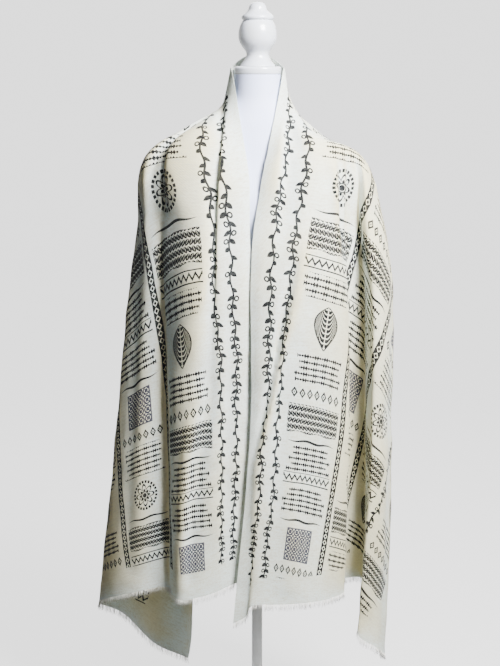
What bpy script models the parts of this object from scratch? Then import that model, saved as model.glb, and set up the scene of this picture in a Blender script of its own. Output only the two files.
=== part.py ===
"""A prayer shawl, one long woven length, worn over the shoulders of a dress form.

The shawl is a wall of cloth lofted through fold lines. Each fold line starts on the neck edge,
passes over the shoulder, and falls past the chest to the frayed hem or to the outer selvedge.
Lengths in the tables are centimetres. +Z is up, the shawl's opening faces -Y, and the origin
is the middle of the stand's foot on the floor.
"""

import math
from typing import NamedTuple

import bmesh
import bpy
import numpy as np
from mathutils import Vector

CM = 0.01

# Dress form: a neck column, sloping shoulders and a torso on a pole with a round foot.
NECK_RADIUS = 5.3
NECK_TOP = 153.9
TORSO_BOTTOM = 76.0
FORM_SIDES = 40
POLE_RADIUS = 1.25
FOOT_RADIUS = 18.0
FOOT_THICKNESS = 1.4
SEAT_GAP = 0.03
NECK_BLOCK_THICKNESS = 1.75
POLE_LENGTH = TORSO_BOTTOM - FOOT_THICKNESS - 2 * SEAT_GAP
TURNING_STEPS = 28
POLE_STEPS = 24
FOOT_STEPS = 40

# Turned profiles: radius, and height above the profile's own lowest point, top to bottom.
NECK_BLOCK = (
    (0.0, NECK_BLOCK_THICKNESS), (3.9, NECK_BLOCK_THICKNESS), (5.1, NECK_BLOCK_THICKNESS),
    (5.4, NECK_BLOCK_THICKNESS - 0.3), (5.4, 0.2), (5.3, 0.0), (0.0, 0.0),
)
FINIAL = (
    (0.0, 14.3), (0.9, 14.2), (1.6, 13.8), (1.95, 13.2), (2.1, 12.6), (2.6, 12.0), (3.2, 11.5),
    (3.6, 11.1), (3.6, 10.5), (3.35, 10.25), (3.45, 10.1), (3.95, 9.2), (4.25, 8.1), (4.35, 7.0),
    (4.2, 5.9), (3.8, 4.9), (3.2, 4.0), (2.7, 3.4), (2.5, 2.9), (2.55, 2.3), (2.9, 1.5),
    (3.5, 0.7), (3.95, 0.15), (4.0, 0.0), (0.0, 0.0),
)
FOOT = (
    (0.0, FOOT_THICKNESS), (FOOT_RADIUS - 1.2, FOOT_THICKNESS),
    (FOOT_RADIUS - 0.3, FOOT_THICKNESS - 0.35), (FOOT_RADIUS, FOOT_THICKNESS - 0.8),
    (FOOT_RADIUS, 0.0), (0.0, 0.0),
)
POLE = (
    (0.0, POLE_LENGTH), (POLE_RADIUS, POLE_LENGTH), (POLE_RADIUS, 3.6), (2.0, 3.2), (2.6, 0.8),
    (3.4, 0.0), (0.0, 0.0),
)

# Cloth: a single length with a frayed hem at both short ends.
CLOTH_WALL = 0.16
FORM_CLEARANCE = 0.20
PIECE_GAP = 0.03
SEAM_STRETCH = 0.22
COLUMN_SPACING = 3.0
SHARP_FOLD = math.radians(48)
FOLD_ROUNDING = 0.3
SHARP_EDGE = math.radians(60)

# Collar: how far its edge and its foot stand off the neck, and how high they lie.
COLLAR_SIDE_HEIGHT = 1.4
COLLAR_BACK_RISE = 3.3
COLLAR_EDGE_GAP = 0.75
COLLAR_EDGE_TURN = 0.35
COLLAR_FOOT_GAP = 2.4
COLLAR_FOOT_BACK_DRAW = 0.7
COLLAR_FOOT_HEIGHT = 147.8
COLLAR_FOOT_FRONT_RISE = 3.4

# Frayed hem: a narrow strip under the cloth's edge and the threads that hang from it.
FRINGE_GAP = 0.07
FRINGE_STRIP = 0.35
FRINGE_SPACING = 1.0
THREAD_LENGTH = 1.5
THREAD_TAPER = 0.35
THREAD_SWAY = 0.12
THREAD_SWAY_TURN = 2.4
THREAD_SHORTENING = 0.15
THREAD_SHORTENING_TURN = 1.7
LEAST_SQUARENESS = 0.4
LEAST_LEANING = 0.7


class Section(NamedTuple):
    """One level of the torso: half its width, and its depth in front of and behind the pole."""

    z: float
    half_width: float
    front: float
    back: float


TORSO = (
    Section(76.0, 15.6, 9.6, 10.6),
    Section(77.5, 16.6, 10.4, 11.6),
    Section(85.0, 17.2, 11.0, 12.4),
    Section(94.0, 15.6, 10.6, 11.0),
    Section(104.0, 13.0, 9.6, 9.2),
    Section(113.0, 14.2, 11.4, 9.6),
    Section(121.0, 16.2, 13.8, 10.4),
    Section(127.0, 17.4, 13.2, 10.6),
    Section(132.0, 18.4, 11.0, 10.2),
    Section(135.5, 18.6, 9.6, 9.2),
    Section(138.0, 16.6, 8.8, 8.4),
    Section(140.5, 14.0, 8.0, 7.8),
    Section(143.0, 11.0, 7.2, 7.4),
    Section(145.5, 7.9, 6.2, 6.8),
    Section(148.0, 5.9, 5.5, 5.9),
    Section(151.0, NECK_RADIUS, NECK_RADIUS, NECK_RADIUS),
    Section(NECK_TOP - SEAT_GAP, NECK_RADIUS, NECK_RADIUS, NECK_RADIUS),
)


class FoldLine(NamedTuple):
    """One ridge, valley or edge of the cloth, from the neck down.

    foot is the angle round the neck where the line leaves the collar: 0 at the side, minus to
    the front, 90 at the back. sag lowers the line between collar and shoulder. The points are
    at the shoulder (sx, sy, sz), at chest height (cx, cy), half way down (mx, my) and at the
    cloth's lower edge (ex, ey, ez).
    """

    name: str
    foot: float
    sag: float
    sx: float
    sy: float
    sz: float
    cx: float
    cy: float
    mx: float
    my: float
    ex: float
    ey: float
    ez: float


LEFT_LINES = (
    FoldLine("inner edge", -38, 0, -2.1, -11.8, 133.0, -1.8, -14.8, -1.9, -15.0, -3.4, -15.0, 39.4),
    FoldLine("edge turn", -28, 0, -4.6, -12.4, 133.6, -3.8, -15.8, -3.4, -15.9, -5.6, -15.6, 38.6),
    FoldLine("collar roll", -16, 0, -7.2, -12.6, 135.0, -7.4, -16.6, -8.2, -17.0, -10.6, -17.0, 36.8),
    FoldLine("collar crease", -6, 0, -9.4, -9.6, 137.0, -9.8, -16.0, -12.4, -17.6, -14.8, -17.4, 35.8),
    FoldLine("front ridge", 2, 0, -12.6, -9.6, 139.4, -11.8, -16.8, -15.4, -17.3, -17.8, -16.9, 35.3),
    FoldLine("under ridge", 8, 0, -18.6, -7.6, 138.6, -16.4, -14.6, -18.4, -15.7, -19.6, -14.9, 35.9),
    FoldLine("side valley", 14, 0, -21.4, -4.6, 136.4, -21.8, -9.0, -21.5, -12.0, -21.2, -12.4, 37.0),
    FoldLine("side ridge", 18, 0, -23.4, -3.6, 137.2, -24.8, -7.6, -26.8, -11.8, -28.2, -12.2, 35.3),
    FoldLine("side turn", 24, 0, -24.2, -1.8, 137.0, -26.9, -3.8, -30.8, -7.6, -34.6, -7.8, 32.4),
    FoldLine("outer fold", 32, 0, -24.4, 0.4, 136.6, -27.6, 0.6, -32.6, -1.0, -37.9, -1.0, 29.3),
    FoldLine("back turn", 42, 0, -22.6, 4.0, 137.0, -24.6, 7.4, -29.2, 6.6, -32.4, 6.2, 23.8),
    FoldLine("back ridge", 52, 0, -19.0, 6.4, 138.4, -19.6, 10.6, -23.6, 9.8, -25.0, 8.8, 15.2),
    FoldLine("corner", 60, 0, -15.6, 7.6, 140.0, -15.2, 12.0, -18.4, 8.6, -16.9, 6.0, 12.5),
)

BACK_LINES = (
    FoldLine("left rise", 66, 0, -12.4, 8.2, 141.4, -11.4, 13.4, -14.8, 10.8, -16.4, 9.4, 44.0),
    FoldLine("left hollow", 72, 0, -9.2, 8.6, 142.8, -7.6, 12.6, -11.0, 12.0, -13.4, 11.6, 66.0),
    FoldLine("left swell", 80, 0, -4.8, 9.0, 144.2, -3.8, 13.8, -5.6, 14.8, -8.4, 17.6, 82.0),
    FoldLine("middle", 90, 0, 0.0, 9.2, 144.8, 0.2, 12.7, 0.2, 13.3, -0.8, 14.2, 88.0),
    FoldLine("right swell", 100, 0, 4.8, 9.0, 144.2, 4.2, 13.8, 6.2, 15.0, 7.2, 18.0, 84.0),
    FoldLine("right hollow", 108, 0, 9.2, 8.6, 142.6, 8.4, 12.6, 12.4, 12.8, 14.6, 12.6, 74.0),
    FoldLine("right rise", 114, 0, 12.6, 8.0, 141.0, 12.6, 13.2, 17.4, 13.2, 20.6, 15.0, 60.0),
    FoldLine("right side", 119, 1, 15.0, 7.4, 139.6, 16.6, 12.0, 22.6, 10.4, 27.8, 8.0, 40.0),
)

RIGHT_LINES = (
    FoldLine("corner", 124, 1, 17.6, 6.2, 138.2, 21.0, 9.6, 28.0, 6.2, 29.6, 2.2, 15.6),
    FoldLine("back turn", 134, 2, 20.4, 4.0, 137.2, 26.0, 6.0, 30.6, 2.6, 30.6, -0.4, 16.4),
    FoldLine("outer fold", 146, 2, 22.6, 0.6, 136.4, 29.0, 0.6, 31.4, -2.0, 30.4, -3.4, 17.4),
    FoldLine("fall front", 154, 2, 22.4, -2.8, 136.6, 27.8, -5.2, 29.6, -6.8, 27.8, -7.4, 20.6),
    FoldLine("fall ridge", 160, 2, 21.6, -4.8, 137.0, 25.0, -8.4, 26.4, -9.0, 23.6, -8.6, 24.2),
    FoldLine("fall flank", 164, 2, 21.0, -5.2, 137.2, 23.7, -6.4, 25.4, -5.2, 25.0, -4.2, 29.8),
    FoldLine("deep valley", 168, 2, 20.4, -5.6, 137.4, 22.9, -4.6, 25.0, -0.8, 25.4, 1.2, 34.4),
    FoldLine("recess", 172, 2, 19.8, -6.2, 137.6, 21.4, -6.2, 22.0, -3.2, 21.2, -1.8, 35.6),
    FoldLine("under fold", 176, 2, 18.8, -6.8, 137.8, 19.4, -7.6, 19.7, -6.8, 18.7, -6.4, 35.2),
    FoldLine("fold edge", 180, 2, 17.8, -7.8, 138.0, 19.4, -9.8, 21.0, -9.6, 20.2, -9.4, 34.9),
    FoldLine("front turn", 186, 1, 15.0, -9.2, 138.4, 16.8, -13.2, 17.2, -14.0, 16.8, -14.2, 34.7),
    FoldLine("front swell", 190, 0, 10.6, -10.4, 138.6, 10.6, -16.0, 9.6, -17.2, 9.8, -17.4, 34.7),
    FoldLine("collar crease", 194, 0, 6.9, -9.8, 138.4, 5.4, -15.8, 4.8, -17.8, 4.6, -18.0, 34.6),
    FoldLine("collar roll", 200, 0, 5.0, -12.2, 136.8, 3.6, -16.2, 2.2, -18.2, -0.2, -18.2, 34.3),
    FoldLine("edge turn", 208, 0, 3.2, -12.2, 135.4, 1.2, -16.0, 0.0, -17.6, -2.9, -17.8, 31.3),
    FoldLine("inner edge", 218, 0, 1.7, -11.6, 134.5, -0.8, -15.2, -1.6, -16.8, -5.6, -17.2, 29.8),
)

LINES = LEFT_LINES + BACK_LINES + RIGHT_LINES
LEFT_CORNER = len(LEFT_LINES) - 1
RIGHT_CORNER = len(LEFT_LINES) + len(BACK_LINES)
LEFT_SEAM = LEFT_CORNER + 1.5
RIGHT_SEAM = RIGHT_CORNER - 1.5

# Shares of each fold line's fall at which its points lie, from the neck edge to the lower edge.
LEVELS = (0.0, 0.055, 0.12, 0.185, 0.32, 0.66, 1.0)
ROWS = (
    0.0, 0.028, 0.055, 0.085, 0.12, 0.152, 0.185, 0.215, 0.25, 0.285, 0.32, 0.38, 0.44, 0.5,
    0.56, 0.62, 0.68, 0.74, 0.8, 0.86, 0.91, 0.955, 1.0,
)
CHEST_HEIGHT = 120.0


def through(points, knots, at):
    """A smooth curve through points, read at the given knot values."""
    points = np.asarray(points, float)
    knots = np.asarray(knots, float)
    at = np.asarray(at, float)
    steps = np.diff(knots)
    slopes = np.diff(points, axis=0) / steps[:, None]
    tangents = np.empty_like(points)
    tangents[0] = slopes[0]
    tangents[-1] = slopes[-1]
    before, after = steps[:-1, None], steps[1:, None]
    tangents[1:-1] = (slopes[:-1] * after + slopes[1:] * before) / (before + after)
    span = np.clip(np.searchsorted(knots, at, side="right") - 1, 0, len(steps) - 1)
    width = steps[span][:, None]
    t = ((at - knots[span]) / steps[span])[:, None]
    return (
        points[span] * (1 + 2 * t) * (1 - t) ** 2
        + tangents[span] * width * t * (1 - t) ** 2
        + points[span + 1] * t * t * (3 - 2 * t)
        - tangents[span + 1] * width * t * t * (1 - t)
    )


def torso_size(z):
    """Half width, front depth and back depth of the form at height z."""
    rows = np.array(TORSO)
    return through(rows[:, 1:], rows[:, 0], np.clip([z], rows[0, 0], rows[-1, 0]))[0]


def form_level(point):
    """How far out of the form a point lies, as a ratio: 1 on its surface."""
    x, y, z = point
    half_width, front, back = torso_size(z)
    depth = front if y < 0 else back
    return math.hypot(x / half_width, y / depth)


def clear_of_form(point, clearance):
    """The point, moved out along the form's slope where it is nearer than clearance."""
    point = np.array(point, float)
    if point[2] < TORSO_BOTTOM - 1.0:
        return point
    nudge = 0.05
    for _ in range(12):
        level = form_level(point)
        slope = np.array(
            [
                (form_level(point + nudge * axis) - form_level(point - nudge * axis)) / (2 * nudge)
                for axis in np.eye(3)
            ]
        )
        steepness = np.linalg.norm(slope)
        distance = (level - 1) / steepness
        if distance >= clearance - 1e-4:
            break
        point += slope / steepness * (clearance - distance) * 0.9
    return point


def collar_points(foot):
    """The neck edge and the collar's foot for a fold line that leaves the neck at this angle."""
    turn = math.radians(foot)
    behind = max(0.0, math.sin(turn))
    ahead = max(0.0, -math.sin(turn))
    edge_turn = turn
    if ahead:
        side = math.pi if math.cos(turn) < 0 else 0.0
        edge_turn = side + (turn - side) * COLLAR_EDGE_TURN
    edge_radius = NECK_RADIUS + COLLAR_EDGE_GAP
    edge = (
        -edge_radius * math.cos(edge_turn),
        edge_radius * math.sin(edge_turn),
        NECK_TOP + COLLAR_SIDE_HEIGHT + COLLAR_BACK_RISE * behind**2,
    )
    foot_radius = NECK_RADIUS + COLLAR_FOOT_GAP * (1 - ahead) - COLLAR_FOOT_BACK_DRAW * behind
    lower = (
        -foot_radius * math.cos(turn),
        foot_radius * math.sin(turn),
        COLLAR_FOOT_HEIGHT + COLLAR_FOOT_FRONT_RISE * ahead,
    )
    return edge, lower


def line_points(line):
    """The points of one fold line, in the order of LEVELS."""
    edge, lower = collar_points(line.foot)
    shoulder = (line.sx, line.sy, line.sz)
    slope = [(a + b) / 2 for a, b in zip(lower, shoulder)]
    slope[2] -= line.sag
    chest = (line.cx, line.cy, CHEST_HEIGHT)
    middle = (line.mx, line.my, (CHEST_HEIGHT + line.ez) / 2)
    end = (line.ex, line.ey, line.ez)
    return [edge, lower, slope, shoulder, chest, middle, end]


def with_rounder_folds(at, grid):
    """The columns' knot values with two more beside each column where the cloth folds sharply."""
    across = np.diff(grid, axis=1)
    across /= np.linalg.norm(across, axis=2, keepdims=True)
    bend = np.einsum("rck,rck->rc", across[:, :-1], across[:, 1:]).min(axis=0)
    extra = []
    for i in np.flatnonzero(bend < math.cos(SHARP_FOLD)) + 1:
        extra.append(at[i] - (at[i] - at[i - 1]) * FOLD_ROUNDING)
        extra.append(at[i] + (at[i + 1] - at[i]) * FOLD_ROUNDING)
    return np.sort(np.concatenate([at, extra]))


def across_lines(falls, knots, at):
    """The grid of points read across all fold lines, with heights that turn at the two corners."""
    grid = np.array([through(falls[:, row], knots, at) for row in range(falls.shape[1])])
    stops = (0, LEFT_CORNER, RIGHT_CORNER, len(knots) - 1)
    for first, last in zip(stops, stops[1:]):
        inside = (at >= knots[first]) & (at <= knots[last])
        for row, points in enumerate(grid):
            lines = falls[first : last + 1, row]
            points[inside, 2] = through(lines, knots[first : last + 1], at[inside])[:, 2]
    return grid


def cloth_grid():
    """Points of the cloth's middle surface, and the columns of its two seams and two corners.

    The grid has a row for each level, from the neck edge to the lower edge, and its columns run
    from the left fall's inner edge round the back to the right fall's.
    """
    falls = np.array([through(line_points(line), LEVELS, ROWS) for line in LINES])
    chords = np.linalg.norm(np.diff(falls, axis=0), axis=2).mean(axis=1)
    knots = np.concatenate([[0.0], np.cumsum(np.sqrt(chords))])
    at = [0.0]
    for start, stop, chord in zip(knots[:-1], knots[1:], chords):
        count = max(2, round(chord / COLUMN_SPACING))
        at.extend(start + (stop - start) * (i + 1) / count for i in range(count))
    at = np.array(at)
    at = with_rounder_folds(at, across_lines(falls, knots, at))
    seams = np.interp([LEFT_SEAM, RIGHT_SEAM], range(len(knots)), knots)
    beside = np.array([-SEAM_STRETCH, 0.0, SEAM_STRETCH])
    for seam in seams:
        at = at[abs(at - seam) > 1.5 * SEAM_STRETCH]
        at = np.sort(np.concatenate([at, seam + beside]))
    grid = across_lines(falls, knots, at)
    for row in grid:
        for i, point in enumerate(row):
            row[i] = clear_of_form(point, FORM_CLEARANCE + CLOTH_WALL / 2)
    places = [*seams, knots[LEFT_CORNER], knots[RIGHT_CORNER]]
    return grid, [int(np.argmin(abs(at - place))) for place in places]


def trimmed(grid, start, stop):
    """The grid with its first or last column drawn in by half the gap between two pieces."""
    grid = grid.copy()
    for edge, inner, wanted in ((0, 1, start), (-1, -2, stop)):
        if wanted:
            down = np.gradient(grid[:, edge], axis=0)
            down /= np.linalg.norm(down, axis=1, keepdims=True)
            inward = grid[:, inner] - grid[:, edge]
            inward -= (inward * down).sum(axis=1, keepdims=True) * down
            inward /= np.linalg.norm(inward, axis=1, keepdims=True)
            grid[:, edge] += inward * PIECE_GAP / 2
    return grid


def material(name, colour, roughness, metallic=0.0):
    """A plain Principled material."""
    made = bpy.data.materials.new(name)
    made.use_nodes = True
    shader = made.node_tree.nodes["Principled BSDF"]
    shader.inputs["Base Color"].default_value = (*colour, 1.0)
    shader.inputs["Roughness"].default_value = roughness
    shader.inputs["Metallic"].default_value = metallic
    return made


def add_object(name, mesh, finish, collection):
    """Links a mesh as an object of the part, with its material."""
    obj = bpy.data.objects.new(name, mesh)
    collection.objects.link(obj)
    mesh.materials.append(finish)
    return obj


def half_walls(grid):
    """Half the cloth's wall at each grid point, as a step outwards square to the surface."""
    diagonal = grid[1:, 1:] - grid[:-1, :-1]
    other = grid[:-1, 1:] - grid[1:, :-1]
    cells = np.cross(diagonal, other)
    cells /= np.linalg.norm(cells, axis=2, keepdims=True)
    around = np.zeros((4, *grid.shape))
    around[0, :-1, :-1] = cells
    around[1, 1:, :-1] = cells
    around[2, :-1, 1:] = cells
    around[3, 1:, 1:] = cells
    outwards = around.sum(axis=0)
    outwards /= np.linalg.norm(outwards, axis=2, keepdims=True)
    leaning = np.einsum("frck,rck->frc", around, outwards)
    leaning[~around.any(axis=3)] = 1.0
    return outwards * CLOTH_WALL / 2 / np.maximum(leaning.min(axis=0), LEAST_LEANING)[..., None]


def cloth_wall(name, grid, half, finish, collection):
    """A wall of cloth about the grid's points, half its thickness on each side."""
    rows, columns = grid.shape[:2]
    bm = bmesh.new()
    outer, inner = (
        [[bm.verts.new(Vector(point) * CM) for point in row] for row in layer]
        for layer in (grid + half, grid - half)
    )
    for row in range(rows - 1):
        for column in range(columns - 1):
            for layer, turn in ((outer, 1), (inner, -1)):
                corners = (
                    layer[row][column],
                    layer[row + 1][column],
                    layer[row + 1][column + 1],
                    layer[row][column + 1],
                )
                bm.faces.new(corners[::turn])
    rims = [(outer[row], inner[row]) for row in (0, -1)]
    rims += [([row[column] for row in outer], [row[column] for row in inner]) for column in (0, -1)]
    for over, under in rims:
        for a, b, c, d in zip(over, over[1:], under[1:], under):
            bm.faces.new((a, b, c))
            bm.faces.new((a, c, d))
    bmesh.ops.recalc_face_normals(bm, faces=bm.faces)
    mesh = bpy.data.meshes.new(name)
    bm.to_mesh(mesh)
    bm.free()
    mesh.shade_smooth()
    mesh.set_sharp_from_angle(angle=SHARP_EDGE)
    return add_object(name, mesh, finish, collection)


def lofted_torso(finish, collection):
    """The form's torso and neck: rings of the section table bridged and capped."""
    bm = bmesh.new()
    rings = []
    for section in TORSO:
        circle = bmesh.ops.create_circle(bm, segments=FORM_SIDES, radius=1.0)
        for vertex in circle["verts"]:
            depth = section.front if vertex.co.y < 0 else section.back
            vertex.co = Vector(
                (vertex.co.x * section.half_width, vertex.co.y * depth, section.z)
            ) * CM
        rings.append(sorted({e for v in circle["verts"] for e in v.link_edges}, key=lambda e: e.index))
    for lower, upper in zip(rings, rings[1:]):
        bmesh.ops.bridge_loops(bm, edges=lower + upper)
    bmesh.ops.holes_fill(bm, edges=rings[0] + rings[-1], sides=0)
    bmesh.ops.recalc_face_normals(bm, faces=bm.faces)
    mesh = bpy.data.meshes.new("form_torso")
    bm.to_mesh(mesh)
    bm.free()
    obj = add_object("form_torso", mesh, finish, collection)
    mesh.shade_smooth()
    return obj


def turned(name, profile, foot, finish, collection, steps=TURNING_STEPS):
    """A solid of revolution about the pole's axis, its profile raised to stand at the foot's height."""
    bm = bmesh.new()
    points = [bm.verts.new((radius * CM, 0.0, (foot + rise) * CM)) for radius, rise in profile]
    for upper, lower in zip(points, points[1:]):
        bm.edges.new((upper, lower))
    mesh = bpy.data.meshes.new(name)
    bm.to_mesh(mesh)
    bm.free()
    obj = add_object(name, mesh, finish, collection)
    screw = obj.modifiers.new("turning", "SCREW")
    screw.steps = screw.render_steps = steps
    screw.use_merge_vertices = True
    screw.merge_threshold = 0.00005
    screw.use_smooth_shade = True
    return obj


def hem_stations(edge):
    """Column numbers, whole and between, at which a frayed hem has the sides of its threads."""
    stations = [0.0]
    for i, length in enumerate(np.linalg.norm(np.diff(edge, axis=0), axis=1)):
        cells = 2 * max(1, round(length / FRINGE_SPACING))
        stations.extend(i + (k + 1) / cells for k in range(cells))
    return np.array(stations)


def frayed_hem(name, grid, half, finish, collection):
    """Threads hanging from a narrow strip just under the cloth's lower edge."""
    edge, half = grid[-1], half[-1]
    fall = edge - grid[-2]
    fall /= np.linalg.norm(fall, axis=1, keepdims=True)
    along = np.diff(edge, axis=0)
    along /= np.linalg.norm(along, axis=1, keepdims=True)
    along = np.concatenate([along[:1], (along[:-1] + along[1:]) / 2, along[-1:]])
    squareness = np.linalg.norm(np.cross(along, fall), axis=1, keepdims=True)
    drop = fall / np.maximum(squareness, LEAST_SQUARENESS)
    stations = hem_stations(edge)
    columns = np.arange(len(edge))
    edge, drop, along, side = (
        np.stack([np.interp(stations, columns, values[:, k]) for k in range(3)], axis=1)
        for values in (edge, drop, along, half)
    )
    bm = bmesh.new()
    rings = []
    for i in range(len(stations)):
        top = edge[i] + drop[i] * FRINGE_GAP
        bottom = edge[i] + drop[i] * (FRINGE_GAP + FRINGE_STRIP)
        corners = (top - side[i], top + side[i], bottom + side[i], bottom - side[i])
        rings.append([bm.verts.new(Vector(corner) * CM) for corner in corners])
    for a, b in zip(rings, rings[1:]):
        for k in range(4):
            bm.faces.new((a[k], a[(k + 1) % 4], b[(k + 1) % 4], b[k]))
    bm.faces.new(rings[0][::-1])
    bm.faces.new(rings[-1])
    bmesh.ops.recalc_face_normals(bm, faces=bm.faces)
    for cell in range(0, len(stations) - 1, 2):
        root = next(
            face
            for face in rings[cell][2].link_faces
            if rings[cell][3] in face.verts and rings[cell + 1][2] in face.verts
        )
        thread = bmesh.ops.extrude_discrete_faces(bm, faces=[root])["faces"][0]
        sway = along[cell] * THREAD_SWAY * math.sin(THREAD_SWAY_TURN * cell)
        length = THREAD_LENGTH * (1 - THREAD_SHORTENING * (1 - math.sin(THREAD_SHORTENING_TURN * cell)))
        reach = drop[cell] / np.linalg.norm(drop[cell]) * length + sway
        centre = thread.calc_center_median()
        for vertex in thread.verts:
            vertex.co = centre + (vertex.co - centre) * THREAD_TAPER + Vector(reach) * CM
    mesh = bpy.data.meshes.new(name)
    bm.to_mesh(mesh)
    bm.free()
    return add_object(name, mesh, finish, collection)


def clear_scene():
    """Removes what the startup file holds."""
    for obj in list(bpy.data.objects):
        bpy.data.objects.remove(obj, do_unlink=True)


def main():
    """Builds the cloth, its frayed ends, the form and the stand."""
    clear_scene()
    collection = bpy.data.collections.new("prayer_shawl_on_form")
    bpy.context.scene.collection.children.link(collection)
    cloth = material("cream_cotton", (0.86, 0.84, 0.76), 0.9)
    frayed = material("frayed_cotton", (0.80, 0.78, 0.72), 0.95)
    jersey = material("form_jersey", (0.83, 0.83, 0.90), 0.85)
    paint = material("white_paint", (0.88, 0.88, 0.88), 0.35)

    grid, (left_seam, right_seam, left_corner, right_corner) = cloth_grid()
    half = half_walls(grid)
    pieces = (
        ("shawl_left_fall", 0, left_seam),
        ("shawl_back_fall", left_seam, right_seam),
        ("shawl_right_fall", right_seam, grid.shape[1] - 1),
    )
    for name, first, last in pieces:
        panel = trimmed(grid[:, first : last + 1], name != pieces[0][0], name != pieces[-1][0])
        cloth_wall(name, panel, half[:, first : last + 1], cloth, collection)
    hems = (
        ("fringe_left_end", slice(0, left_corner + 1)),
        ("fringe_right_end", slice(right_corner, None)),
    )
    for name, columns in hems:
        frayed_hem(name, grid[:, columns], half[:, columns], frayed, collection)

    lofted_torso(jersey, collection)
    turned("neck_block", NECK_BLOCK, NECK_TOP, paint, collection)
    turned("neck_finial", FINIAL, NECK_TOP + NECK_BLOCK_THICKNESS + SEAT_GAP, paint, collection)
    turned("stand_foot", FOOT, 0.0, paint, collection, steps=FOOT_STEPS)
    turned("stand_pole", POLE, FOOT_THICKNESS + SEAT_GAP, paint, collection, steps=POLE_STEPS)


main()
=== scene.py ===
"""A prayer shawl draped on a white dress form, dressed for its photograph.

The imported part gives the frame. Each class below builds one sub-assembly in the same metres:
the woven length and its frayed ends, the padded form, the turned neck pieces and the stand.
"""

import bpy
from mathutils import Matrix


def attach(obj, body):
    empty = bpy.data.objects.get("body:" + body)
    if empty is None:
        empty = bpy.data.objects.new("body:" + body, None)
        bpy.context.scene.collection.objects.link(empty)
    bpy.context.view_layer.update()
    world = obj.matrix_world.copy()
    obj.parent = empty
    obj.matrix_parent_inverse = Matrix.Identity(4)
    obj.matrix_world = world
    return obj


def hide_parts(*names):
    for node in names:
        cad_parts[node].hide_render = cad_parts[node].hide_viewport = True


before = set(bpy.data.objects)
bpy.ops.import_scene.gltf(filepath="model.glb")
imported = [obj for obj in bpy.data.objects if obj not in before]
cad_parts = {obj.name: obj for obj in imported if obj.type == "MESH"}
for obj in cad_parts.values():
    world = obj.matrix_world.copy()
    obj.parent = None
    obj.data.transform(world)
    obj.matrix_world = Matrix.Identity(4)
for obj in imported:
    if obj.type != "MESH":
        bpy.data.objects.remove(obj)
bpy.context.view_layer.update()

import ast
import enum
import logging
import math
from dataclasses import asdict, dataclass, field
from typing import NamedTuple

import bmesh
import bpy
import numpy as np
from mathutils import Matrix, Vector, noise

log = logging.getLogger("shawl")
CM = 0.01
Pair = tuple[float, float]
Triple = tuple[float, float, float]


# Colours and shader nodes

def linear(hex_colour: str) -> tuple[float, float, float, float]:
    """Turns an sRGB hex colour to linear values.

    Args:
        hex_colour: six hex digits.

    Returns:
        Red, green, blue and alpha, linear.
    """
    channels = [int(hex_colour[i : i + 2], 16) / 255 for i in (0, 2, 4)]
    return (*(c / 12.92 if c <= 0.04045 else ((c + 0.055) / 1.055) ** 2.4 for c in channels), 1.0)


def add_node(
    tree: bpy.types.NodeTree,
    kind: str,
    settings: dict[str, object] | None = None,
    inputs: dict[str | int, object] | None = None,
) -> bpy.types.Node:
    """Adds a node with its settings, values and links.

    Args:
        tree: the material's node tree.
        kind: Blender's name of the node.
        settings: the node's own properties.
        inputs: for each socket its value, or the socket that it is linked to.

    Returns:
        The new node.
    """
    node = tree.nodes.new(kind)
    for name, value in (settings or {}).items():
        setattr(node, name, value)
    for name, value in (inputs or {}).items():
        if isinstance(value, bpy.types.NodeSocket):
            tree.links.new(value, node.inputs[name])
        else:
            node.inputs[name].default_value = value
    return node


class Formula:
    """Writes formulas over named sockets and numbers as the nodes of one tree."""

    SIGNS = {
        ast.Add: "ADD", ast.Sub: "SUBTRACT", ast.Mult: "MULTIPLY", ast.Div: "DIVIDE",
        ast.Mod: "FLOORED_MODULO", ast.Lt: "LESS_THAN", ast.Gt: "GREATER_THAN",
    }
    WORDS = {
        "sin": "SINE", "cos": "COSINE", "abs": "ABSOLUTE", "min": "MINIMUM", "max": "MAXIMUM",
        "floor": "FLOOR", "fract": "FRACT", "sqrt": "SQRT", "atan2": "ARCTAN2",
    }

    def __init__(self, tree: bpy.types.NodeTree, **known: object) -> None:
        """Keeps the tree that the formulas are written into and the names that they may use."""
        self.tree = tree
        self.known = known

    def __call__(self, text: str, **values: object) -> object:
        """Adds the nodes of a formula.

        Args:
            text: the formula, in Python's signs and the words above.
            values: the socket or number that each further name stands for.

        Returns:
            The socket that holds the result.
        """
        return self._part(ast.parse(text).body[0].value, self.known | values)

    def keep(self, **formulas: str) -> None:
        """Adds formulas in order and keeps their names, so that each may use those before it."""
        for name, text in formulas.items():
            self.known[name] = self(text)

    def _part(self, part: ast.AST, values: dict[str, object]) -> object:
        """Adds the nodes of one part of a formula.

        Args:
            part: the part, as Python's own parser gives it.
            values: the socket or number that each name stands for.

        Returns:
            The part's number, or the socket that holds its result.
        """
        if isinstance(part, ast.Constant):
            return float(part.value)
        if isinstance(part, ast.Name):
            return values[part.id]
        if isinstance(part, ast.UnaryOp):
            return -self._part(part.operand, values)
        if isinstance(part, ast.BinOp):
            word, terms = self.SIGNS[type(part.op)], [part.left, part.right]
        elif isinstance(part, ast.Compare):
            word, terms = self.SIGNS[type(part.ops[0])], [part.left, part.comparators[0]]
        else:
            word, terms = self.WORDS[part.func.id], part.args
        inputs = {i: self._part(term, values) for i, term in enumerate(terms)}
        return add_node(self.tree, "ShaderNodeMath", {"operation": word}, inputs).outputs[0]


def new_material(name: str) -> tuple[bpy.types.Material, bpy.types.NodeTree]:
    """Makes a material with an empty node tree.

    Args:
        name: the real material's name.

    Returns:
        The material and its tree.
    """
    made = bpy.data.materials.new(name)
    made.use_nodes = True
    made.node_tree.nodes.clear()
    return made, made.node_tree


# The printed design, a generic one

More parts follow.
